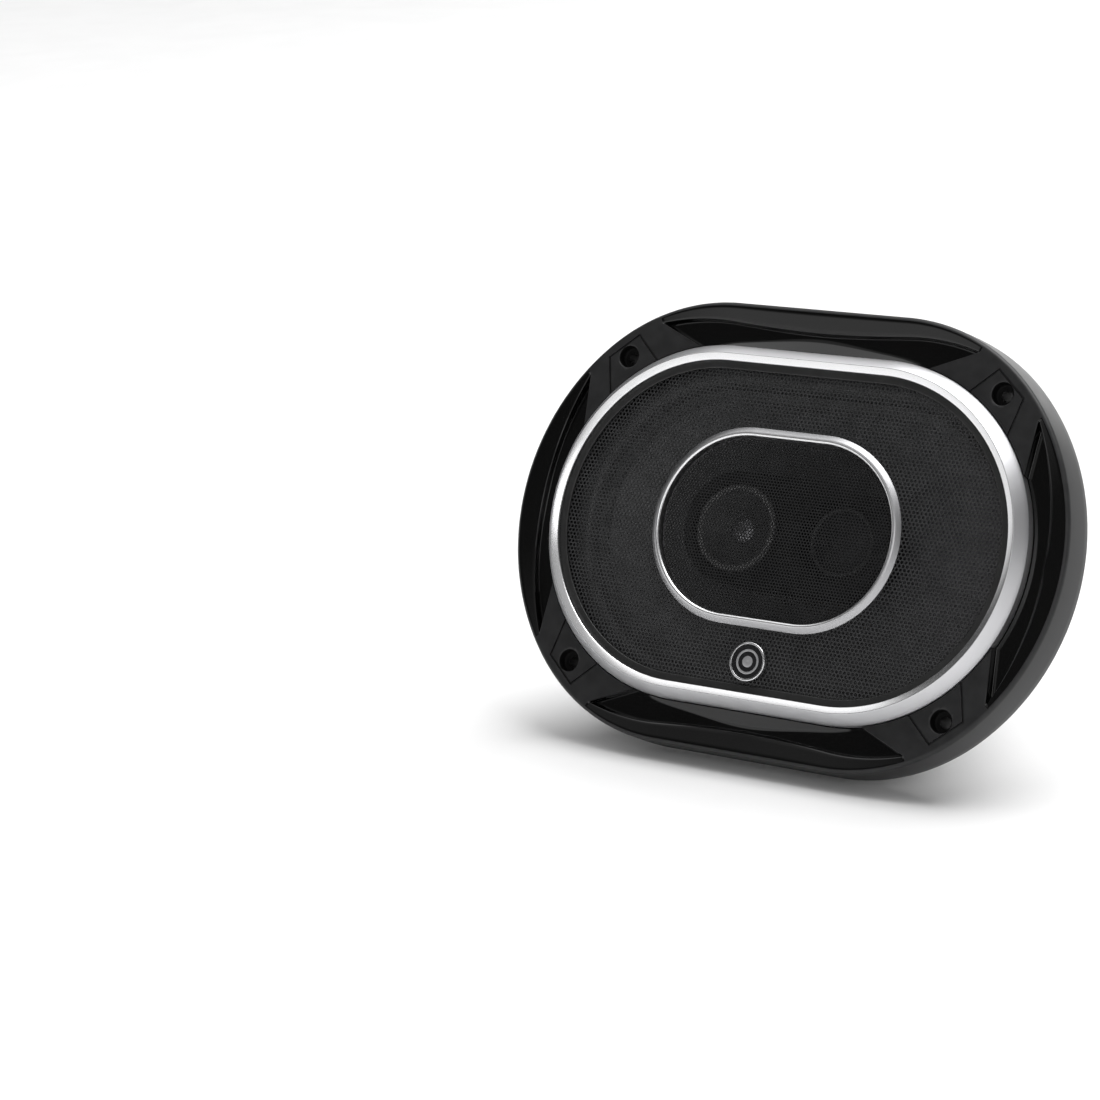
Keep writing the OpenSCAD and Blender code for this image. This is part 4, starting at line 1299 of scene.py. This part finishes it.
@dataclass
class Basket:
    """The pressed basket: a flange with slotted ears and a bead, and a conical wall with windows."""

    ring: Oval = Oval(72.0, 88, 20)
    seat: float = 71.0
    skirt: float = 3.5
    flange: float = 85.0
    flange_t: float = 2.0
    bead: float = 78.5
    depth: float = 42.0
    base: float = 53.0
    base_t: float = 2.0
    wall: float = 2.2
    neck: float = 21.8
    spider_seat: float = 40.0
    skirt_z: float = -3.0
    hole_angle: float = 52.0
    hole_reach: float = 83.2

    def polar(self, r: float, degrees: float) -> np.ndarray:
        """A point at a distance and angle about the end of the oval."""
        a = math.radians(degrees)
        return np.array([self.ring.flat / 2 + r * math.cos(a), r * math.sin(a)])

    def cone_wall(self) -> Shape:
        """The wall: a circle at its foot grows into the oval at the skirt, as share goes from 0 to 1."""
        share = np.linspace(0, 1, 14)
        out = self.seat + self.skirt
        z = -self.depth + share * (self.skirt_z + self.depth)
        outer = np.column_stack([self.base + (out - self.base) * share, z])
        inner = outer[::-1] - np.array([self.wall, 0])
        keep = np.concatenate([share, share[::-1]])
        return ring_shape(self.ring.loops(np.vstack([outer, inner]), keep))

    def rim(self) -> Shape:
        """Skirt, flange and its rear bead as one section."""
        out = self.seat + self.skirt
        low, bead = self.skirt_z - 0.6, self.bead
        corners = [(self.seat, low), (out, low), (out, 0.0), (bead - 1.5, 0.0),
                   (bead - 0.8, -1.2), (bead + 0.8, -1.2), (bead + 1.5, 0.0), (self.flange, 0.0),
                   (self.flange, self.flange_t), (self.seat, self.flange_t)]
        cuts = [0.2, 0.2, 0.8, 0.4, 0.7, 0.7, 0.4, 0.4, 0.4, 0.4]
        return ring_shape(self.ring.loops(rounded(corners, cuts)))

    def ear(self) -> Shape:
        """One pointed ear around a screw slot."""
        tip, root, a = self.flange + 4.5, self.flange - 0.6, self.hole_angle
        corners = [self.polar(self.seat + 5, a - 14), self.polar(root, a - 16), self.polar(tip, a - 3),
                   self.polar(tip, a + 3), self.polar(root, a + 16), self.polar(self.seat + 5, a + 14)]
        return prism(rounded(corners, [1, 3, 3, 3, 3, 1], 6), 0.0, self.flange_t)

    def slot(self) -> Shape:
        """The screw slot: a stadium across the ear."""
        at = self.polar(self.hole_reach, self.hole_angle)
        a = np.linspace(-math.pi / 2, math.pi / 2, 14)
        half = np.column_stack([2 + 2.7 * np.cos(a), 2.7 * np.sin(a)])
        stadium = np.vstack([half, -half])
        turn = math.radians(self.hole_angle + 90)
        spin = np.array([[math.cos(turn), math.sin(turn)], [-math.sin(turn), math.cos(turn)]])
        return prism(stadium @ spin + at, -4.0, 6.0)

    def window(
        self, outer: Sequence[float], inner: Sequence[float], outer_w: float, inner_w: float
    ) -> Shape:
        """A rounded opening that tapers from its outer end to its inner end.

        Args:
            outer: x and v of the middle of its outer end.
            inner: x and v of the middle of its inner end.
            outer_w: width at the outer end.
            inner_w: width at the inner end.

        Returns:
            The shape that cuts it.
        """
        a, b = np.array(outer, float), np.array(inner, float)
        along = (b - a) / np.linalg.norm(b - a)
        side = np.array([-along[1], along[0]])
        wide, narrow = side * outer_w / 2, side * inner_w / 2
        corners = [a + wide, a - wide, b - narrow, b + narrow]
        return prism(rounded(corners, [2.6, 2.6, 1.8, 1.8], 5), -self.depth + 2.5, -5.5)

    def windows(self) -> list[Shape]:
        """Five long windows above and below, and three small ones with a tall arch at each end."""
        half, out, base = self.ring.flat / 2, self.seat + self.skirt, self.base
        found = []
        for sv in (1, -1):
            found.append(self.window((0, sv * (out - 2.5)), (0, sv * (base + 4)), 13, 8))
            for sx in (1, -1):
                found += [
                    self.window((half - 5, out - 2.6), (21, base + 1.5), 11, 7).mirrored(sx, sv),
                    self.window(self.polar(out - 5.5, 70), (41, base - 12.5), 12, 8).mirrored(sx, sv),
                    self.window((half + out - 10, 25), (half + out - 27.5, 37), 3.5, 11).mirrored(sx, sv),
                ]
        for sx in (1, -1):
            found += [self.window((half + out - 5, 0), (half + out - 18, 0), 20, 18).mirrored(sx, 1),
                      self.window((base + 31, 0), (base + 17.5, 0), 44, 54).mirrored(sx, 1)]
        return found

    def build(self, shop: Workshop) -> None:
        """Makes the basket and its foam gasket."""
        def washer(inner: float, outer: float, low: float, high: float) -> Shape:
            """A flat ring whose heights are measured from the bottom of the wall."""
            low, high = low - self.depth, high - self.depth
            return lathe(rounded([(inner, low), (outer, low), (outer, high), (inner, high)], 0.3, 2), 144)

        plate = washer(self.neck, self.base, -self.base_t, 0.5)
        seat = washer(self.spider_seat, self.spider_seat + 4, -0.5, 6)
        steps = [("UNION", self.rim()), ("UNION", plate), ("UNION", seat)]
        pin = prism(disc_outline(1.7, 28, *self.polar(self.flange - 4.5, self.hole_angle + 8.5)), -4, 6)
        tools = [("UNION", self.ear()), ("DIFFERENCE", self.slot()), ("DIFFERENCE", pin)]
        steps += [(how, tool.mirrored(*signs)) for signs in QUARTERS for how, tool in tools]
        steps += [("DIFFERENCE", w) for w in self.windows()]
        mesh = shop.combine(self.cone_wall(), steps, "pressed_basket")
        shop.piece("pressed_basket", mesh, Body.CHASSIS, [Palette.BASKET], ["basket"], sharp=40)
        low, high = self.flange_t + 0.55, self.flange_t + 3
        foam = rounded([(self.seat + 0.5, low), (self.seat + 6.5, low), (self.seat + 6.5, high),
                        (self.seat + 0.5, high)], 0.5, 3)
        shop.piece("foam_gasket", ring_shape(self.ring.loops(foam)), Body.CHASSIS, [Palette.FOAM],
                   ["front_gasket"])


@dataclass
class Motor:
    """The magnet stack in its rubber boot, with the printed label."""

    boot_radius: float = 55.5
    flare: float = 3.0
    chamfer: float = 3.0
    back: float = -79.4
    front: float = -41.6
    magnet: float = 50.1
    wide: float = 54.3
    label: float = 43.5
    inset: float = 1.2
    dark: float = 49.8
    step: float = -44.6
    floor: float = -74.5
    dots: tuple[float, ...] = (188.0, 194.0, 200.0)

    def boot(self, shop: Workshop) -> None:
        """The cup, with a soft chamfer, a dark ring round the label and three moulding dots."""
        lip, rim, well = self.boot_radius + self.flare, self.label + 0.8, self.back + self.inset
        corners = [(0.001, well), (rim, well), (rim, self.back), (self.dark, self.back),
                   (self.boot_radius - self.chamfer, self.back),
                   (self.boot_radius, self.back + self.chamfer),
                   (lip, self.front - 3), (lip - 0.8, self.front), (self.wide, self.front),
                   (self.wide, self.step), (self.magnet, self.step), (self.magnet, self.floor),
                   (0.001, self.floor)]
        section = rounded(corners, [0, 0.3, 0.6, 0.1, 1.6, 1.6, 1.2, 0.6, 0.3, 0.3, 0.3, 0.5, 0], 6)
        shade = [1 if p[1] < well + 0.05 and p[0] < self.dark else 0 for p in section]
        shape = lathe(section, 208, shade)
        for degrees in self.dots:
            shape = shape + self.moulding_dot(degrees)
        shop.piece("rubber_boot", shape, Body.CHASSIS, [Palette.BOOT, Palette.BOOT_DARK], ["magnet_boot"],
                   sharp=50)

    def moulding_dot(self, degrees: float) -> Shape:
        """A low stud that stands square to the chamfer, turned round the axis by an angle."""
        profile = [(0.001, -0.9), (0.8, -0.9), (0.8, 0.12), (0.001, 0.12)]
        dot = lathe(rounded(profile, [0, 0.1, 0.25, 0], 3), 20)
        tilt = Matrix.Rotation(math.radians(-45), 3, "Y")
        spin = Matrix.Rotation(math.radians(degrees), 3, "Z")
        middle = np.array([self.boot_radius - self.chamfer / 2, 0, self.back + self.chamfer / 2])
        tilted = (dot.points * np.array([1, 1, -1])) @ np.array(tilt).T + middle
        return Shape(tilted @ np.array(spin).T, dot.faces, dot.groups)

    def build(self, shop: Workshop) -> None:
        """Makes the boot and label, and dresses the metal inside."""
        self.boot(shop)
        z = self.back + self.inset
        film = lathe(rounded([(0.001, z - 0.4), (self.label, z - 0.4), (self.label, z), (0.001, z)],
                             [0, 0.15, 0.05, 0], 3), 160)
        shop.piece("printed_label", film, Body.CHASSIS, [Palette.LABEL], ["rear_label"])
        shop.dress({
            "top_plate": Palette.ZINC, "back_plate": Palette.ZINC, "post_screw": Palette.ZINC,
            "magnet_ring": Palette.FERRITE,
        })


@dataclass
class Suspension:
    """Cone, surround, spider and leads."""

    ring: Oval = Oval(72.0)
    seat: float = 71.0
    roll: float = 12.0
    skin: float = 0.5
    flange_t: float = 2.0
    cone_z: float = 2.2
    neck_z: float = -30.0
    former: float = 19.0
    cone_t: float = 0.9
    cone_sag: float = 8.0
    sector: float = 30.0
    spider_z: float = -35.98
    spider_out: float = 43.5
    spider_waves: int = 4
    spider_wave: float = 1.1
    spider_cloth: float = 0.4
    spider_sectors: int = 8
    post: float = 66.5
    top: float = 17.0
    low: float = -29.0
    shelf: float = -47.0
    lead_radius: float = 0.7

    def roll_section(self) -> np.ndarray:
        """Section of the surround: a lip on the flange, a half round, and a lip on the cone."""
        base, inner = self.flange_t + 0.02, self.cone_z + 0.02
        out, rim = self.seat + 5, self.seat - 0.5
        middle, r = rim - self.roll / 2, self.roll / 2
        top = np.radians(np.linspace(8, 172, 22))
        under = np.radians(np.linspace(174, 6, 22))
        arch = np.column_stack([middle + r * np.cos(top), base + self.skin + r * np.sin(top)])
        below = np.column_stack([middle + (r - self.skin) * np.cos(under),
                                 inner + 0.2 + (r - self.skin) * np.sin(under)])
        left = rim - self.roll - 4
        return np.vstack([[(out, base), (out, base + self.skin), (self.seat + 0.4, base + self.skin)], arch,
                          [(left, inner + self.skin), (left, inner)], below, [(self.seat + 0.2, base)]])

    def stretch(self, shop: Workshop, name: str, section: np.ndarray, centre: tuple[float, float],
                ends: tuple[float, float], reach: tuple[float, float], finish: Finish, node: str) -> None:
        """One length of a ring between the chassis and the cone.

        Args:
            shop: makes the piece.
            name: its name.
            section: rows of radius and z.
            centre: x of the spine at the start and end of the length.
            ends: angles of its start and end, in degrees.
            reach: radii of the start and end points handed to the piece, which does not use them.
            finish: its finish.
            node: the CAD node it is part of.
        """
        steps = max(2, int(abs(ends[1] - ends[0]) / 1.8)) if ends[0] != ends[1] else 12
        a = np.radians(np.linspace(*ends, steps + 1))[:, None]
        c = np.linspace(*centre, steps + 1)[:, None]
        r, z = section[None, :, 0], section[None, :, 1]
        loops = np.stack([c + r * np.cos(a), r * np.sin(a), z * np.ones_like(a)], axis=-1)
        half_turn = math.radians(abs(ends[1] - ends[0]) / 2)
        middle = math.radians((ends[0] + ends[1]) / 2)
        way = np.array([math.cos(middle), math.sin(middle), 0.0])
        origin = np.array([(centre[0] + centre[1]) / 2, 0.0, 0.0])
        shrink = math.cos(half_turn)
        start, end = origin + way * reach[0] * shrink, origin + way * reach[1] * shrink
        bend = (Body.CHASSIS, Body.CONE, start, end)
        shop.piece(name, bar_shape(loops), bend, [finish], [node], sharp=60)

    def surround(self, shop: Workshop) -> None:
        """The rubber roll, in lengths: sectors of the two round ends, and one along each straight side."""
        section, half = self.roll_section(), self.ring.flat / 2
        reach = (self.seat - 0.6, self.seat - 0.5 - self.roll + 0.4)
        count = int(180 / self.sector)
        for side, turn in ((1, -90.0), (-1, 90.0)):
            word = "right" if side > 0 else "left"
            for k in range(count):
                ends = (turn + k * self.sector, turn + (k + 1) * self.sector)
                self.stretch(shop, f"surround_{word}_{k + 1}", section, (side * half, side * half), ends,
                             reach, Palette.RUBBER, "surround")
        for word, x, angle in (("top", half, 90.0), ("bottom", -half, -90.0)):
            self.stretch(shop, f"surround_{word}", section, (x, -x), (angle, angle), reach,
                         Palette.RUBBER, "surround")

    def spider(self, shop: Workshop) -> None:
        """The corrugated cloth disc, in lengths: a cosine wave from the former to its seat."""
        r0, r1, z0, cloth = self.former + 0.05, self.spider_out, self.spider_z, self.spider_cloth
        t = np.linspace(0, 1, 73)
        span = r1 - 5.5 - r0
        swing = (1 - np.cos(math.tau * self.spider_waves * t)) / 2
        wave = np.column_stack([r0 + 1.5 + span * t, z0 + self.spider_wave * swing])
        upper = wave[::-1] + np.array([0, cloth])
        section = np.vstack([[(r1, z0), (r1, z0 + cloth)], upper, [(r0, z0 + cloth), (r0, z0)], wave])
        turn = 360.0 / self.spider_sectors
        for k in range(self.spider_sectors):
            self.stretch(shop, f"spider_{k + 1}", section, (0.0, 0.0), (k * turn, k * turn + turn),
                         (42.5, 21.5), Palette.SPIDER, "spider")

    def cone(self, shop: Workshop) -> None:
        """The cone: a circle at the neck grows into the oval, and sags a little between."""
        share = np.linspace(0, 1, 30)
        edge = self.seat - 0.5 - self.roll + 0.2
        neck = self.former + 0.25
        z = self.neck_z + (self.cone_z - self.neck_z) * share - self.cone_sag * share * (1 - share)
        top = np.column_stack([neck + (edge - neck) * share, z])
        low = top[::-1] - np.array([0, self.cone_t])
        keep = np.concatenate([share, share[::-1]])
        side = [0] * (len(share) - 1) + [1] * (len(share) + 1)
        shape = ring_shape(self.ring.loops(np.vstack([top, low]), keep), side)
        shop.piece("woofer_cone", shape, Body.CONE, [Palette.CONE, Palette.CONE_BACK], ["cone"])

    def routes(self) -> list[np.ndarray]:
        """Points that each lead passes, from its lug out through the window to the back of the cone."""
        upper = [(-2, 1.7, 2.5), (1, 2.4, 8), (6, 0, 14), (9, -3, 21),
                 (4, -5, 25), (-5, -7, 27.5), (-14, -8, 26)]
        lower = [(-2, -1.7, 2.5), (1, -2.6, 7), (5, 3, 13), (9, 14, 21),
                 (4, 17, 25), (-5, 19, 27.5), (-14, 20, 26)]
        return [np.array(steps, float) + np.array([self.post, v, self.shelf])
                for steps, v in ((upper, self.top), (lower, self.low))]

    def smooth_path(self, points: np.ndarray) -> np.ndarray:
        """A cubic curve through points, whose slope at each is half the step between its neighbours."""
        ends = np.vstack([2 * points[0] - points[1], points, 2 * points[-1] - points[-2]])
        t = np.linspace(0, 1, 9)[:-1][:, None]
        parts = []
        for i in range(len(points) - 1):
            a, b, c, d = ends[i : i + 4]
            parts.append(0.5 * (2 * b + (c - a) * t + (2 * a - 5 * b + 4 * c - d) * t**2
                                + (3 * b - a - 3 * c + d) * t**3))
        return np.vstack([*parts, points[-1:]])

    def leads(self, shop: Workshop) -> None:
        """Two braided leads from the lugs to the cone: a round section along a smooth path."""
        angle = np.linspace(0, math.tau, 14, endpoint=False)[:, None]
        for number, route in enumerate(self.routes(), 1):
            path = self.smooth_path(route)
            way = np.gradient(path, axis=0)
            way /= np.linalg.norm(way, axis=1, keepdims=True)
            side = np.cross(way, [0.0, 1.0, 0.3])
            side /= np.linalg.norm(side, axis=1, keepdims=True)
            up = np.cross(side, way)
            round_path = side[:, None] * np.cos(angle) + up[:, None] * np.sin(angle)
            loops = path[:, None] + self.lead_radius * round_path
            rows, columns = loops.shape[:2]
            grid = np.meshgrid(np.linspace(0, 1, rows), np.linspace(0, 1, columns), indexing="ij")
            bend = (Body.CHASSIS, Body.CONE, path[8], path[-8])
            shop.piece(f"braided_lead_{number}", bar_shape(loops), bend, [Palette.COPPER_BRAID],
                       ["tinsel_leads"], sharp=60, uv=np.stack(grid, -1).reshape(-1, 2))

    def build(self, shop: Workshop) -> None:
        """Makes the moving parts of the big driver."""
        self.cone(shop)
        self.surround(shop)
        self.spider(shop)
        self.leads(shop)
        shop.dress({"voice_coil_former": Palette.FORMER, "voice_coil_winding": Palette.WINDING})


@dataclass
class SmallDrivers:
    """The pod on its post with the midrange and the tweeter."""

    edge: float = 0.35

    def build(self, shop: Workshop) -> None:
        """Rounds the pod and dresses what sits in it."""
        shop.softened("driver_pod", "pod_housing", Body.CHASSIS, Palette.POD, self.edge)
        shop.dress({
            "pod_post": Palette.POD,
            "midrange_frame": Palette.POD,
            "tweeter_faceplate": Palette.POD,
            "midrange_magnet": Palette.ZINC,
            "tweeter_magnet": Palette.ZINC,
            "midrange_surround": Palette.MIDRANGE_RUBBER,
            "tweeter_surround": Palette.RUBBER,
            "midrange_cone": Palette.MIDRANGE_SHEET,
            "midrange_dust_cap": Palette.ZINC,
            "midrange_coil": Palette.WINDING,
            "tweeter_coil": Palette.WINDING,
            "tweeter_dome": Palette.SILK,
            "crossover_capacitor": Palette.CAPACITOR,
        })


@dataclass
class Terminals:
    """The terminal board with its tabs, rivets and lugs."""

    board_edge: float = 0.3
    tab_edge: float = 0.12
    rivet_edge: float = 0.1

    def build(self, shop: Workshop) -> None:
        """Rounds the board and tabs."""
        for name, node, finish, edge in (
            ("terminal_board", "terminal_bracket", Palette.BOARD, self.board_edge),
            ("wide_spade_tab", "terminal_tab_wide", Palette.TIN, self.tab_edge),
            ("narrow_spade_tab", "terminal_tab_narrow", Palette.TIN, self.tab_edge),
            ("lug_plates", "solder_lugs", Palette.TIN, self.tab_edge),
            ("tab_rivets", "terminal_rivets", Palette.TIN, self.rivet_edge),
        ):
            shop.softened(name, node, Body.CHASSIS, finish, edge)


@dataclass(frozen=True)
class SoftLight:
    """A rectangular soft light: where it is and the point it faces in metres, its sides, and its watts."""

    name: str
    place: Colour
    aim: Colour
    size: tuple[float, float]
    power: float


@dataclass
class Studio:
    """Camera, floor, lights and the room around them, as a grey level for each height of the sky."""

    focal: float = 3162.24
    frame_size: float = 1100.0
    eye: tuple[float, float, float] = (629.9, -133.8, 1133.1)
    right: tuple[float, float, float] = (0.8271, 0.1952, -0.527)
    down: tuple[float, float, float] = (0.1178, -0.9771, -0.177)
    ahead: tuple[float, float, float] = (-0.5495, 0.0843, -0.8312)
    floor_half: float = 6.0
    sky_power: float = 2.8
    sky_spread: float = 50.0
    sky_tilt: tuple[float, float] = (-24.0, 8.0)
    soft_lights: tuple[SoftLight, ...] = (
        SoftLight("overhead", (-0.3, 0.35, 1.6), (-0.3, 0.34, 0.0), (2.6, 1.6), 13.0),
        SoftLight("right_fill", (0.8, -1.5, 0.95), (0.0, 0.0, 0.08), (0.9, 0.8), 5.5),
        SoftLight("back_sheet", (-0.25, 2.4, 0.5), (0.0, 0.0, 0.12), (1.6, 0.6), 7.0),
    )
    room_foot: float = 0.9
    room_top: float = 0.35
    room: tuple[tuple[float, float], ...] = (
        (0.05, 1.0), (0.14, 0.9), (0.22, 0.42), (0.29, 0.07), (0.6, 0.08), (0.8, 0.4),
    )

    def camera(self) -> None:
        """Makes the camera from its axes in the speaker's frame, squared up."""
        axes = np.array([self.right, [-d for d in self.down], [-a for a in self.ahead]])
        u, _, vt = np.linalg.svd(axes)
        turn = STANCE.turn() @ (u @ vt).T
        data = bpy.data.cameras.new("camera")
        data.sensor_width, data.lens = 36.0, 36.0 * self.focal / self.frame_size
        data.clip_start, data.clip_end = 0.05, 50.0
        camera = bpy.data.objects.new("camera", data)
        place = Matrix(turn.tolist()).to_4x4()
        place.translation = STANCE.world(np.array(self.eye)).tolist()
        camera.matrix_world = place
        bpy.context.scene.collection.objects.link(camera)
        bpy.context.scene.camera = camera

    def floor(self) -> None:
        """A wide pale floor with a very fine tooth."""
        ends = [(sx * self.floor_half, sy * self.floor_half, 0) for sx, sy in QUARTERS]
        mesh = bpy.data.meshes.new("studio_floor")
        mesh.from_pydata(ends, [], [(0, 1, 2, 3)])
        mesh.materials.append(Palette.PALE_FLOOR.build())
        floor = bpy.data.objects.new("studio_floor", mesh)
        bpy.context.scene.collection.objects.link(floor)

    def soft_light(self, soft: SoftLight) -> None:
        """Makes one soft light, level with the floor along its first side."""
        data = bpy.data.lights.new(soft.name, "AREA")
        data.shape, data.energy = "RECTANGLE", soft.power
        data.size, data.size_y = soft.size
        light = bpy.data.objects.new(soft.name, data)
        way = np.array(soft.aim) - np.array(soft.place)
        z = -way / np.linalg.norm(way)
        x = np.cross([0.0, 0.0, 1.0], z)
        x /= np.linalg.norm(x)
        matrix = Matrix(np.column_stack([x, np.cross(z, x), z]).tolist()).to_4x4()
        matrix.translation = soft.place
        light.matrix_world = matrix
        light.visible_camera = False
        bpy.context.scene.collection.objects.link(light)

    def lights(self) -> None:
        """A broad sky and the soft lights."""
        sky = bpy.data.lights.new("sky", "SUN")
        sky.energy, sky.angle = self.sky_power, math.radians(self.sky_spread)
        light = bpy.data.objects.new("sky", sky)
        tilt_x, tilt_y = (math.radians(a) for a in self.sky_tilt)
        light.matrix_world = Matrix.Rotation(tilt_x, 4, "X") @ Matrix.Rotation(tilt_y, 4, "Y")
        bpy.context.scene.collection.objects.link(light)
        for soft in self.soft_lights:
            self.soft_light(soft)

    def walls(self) -> None:
        """A room that is white low down, dark above and grey overhead."""
        world = bpy.data.worlds.new("room")
        world.use_nodes = True
        tree = world.node_tree
        coords = tree.nodes.new("ShaderNodeTexCoord")
        parts = tree.nodes.new("ShaderNodeSeparateXYZ")
        ramp = tree.nodes.new("ShaderNodeValToRGB")
        tree.links.new(coords.outputs["Generated"], parts.inputs[0])
        tree.links.new(parts.outputs["Z"], ramp.inputs[0])
        tree.links.new(ramp.outputs[0], tree.nodes["Background"].inputs[0])
        stops = ramp.color_ramp.elements
        stops[0].color, stops[-1].color = ((v, v, v, 1.0) for v in (self.room_foot, self.room_top))
        for height, level in self.room:
            stops.new(height).color = (level, level, level, 1.0)
        bpy.context.scene.world = world
        bpy.context.scene.view_settings.view_transform = "Standard"

    def build(self) -> None:
        """Sets up the studio."""
        self.camera()
        self.floor()
        self.lights()
        self.walls()


def main() -> None:
    """Builds the studio and every sub-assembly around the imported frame."""
    logging.basicConfig(level=logging.INFO, format="%(message)s")
    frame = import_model()
    Studio().build()
    shop = Workshop(frame)
    for make in (GrilleTray, LiftOffGrille, Basket, Motor, Suspension, SmallDrivers, Terminals):
        LOG.info("building %s", make.__name__)
        make().build(shop)


if __name__ == "__main__":
    main()
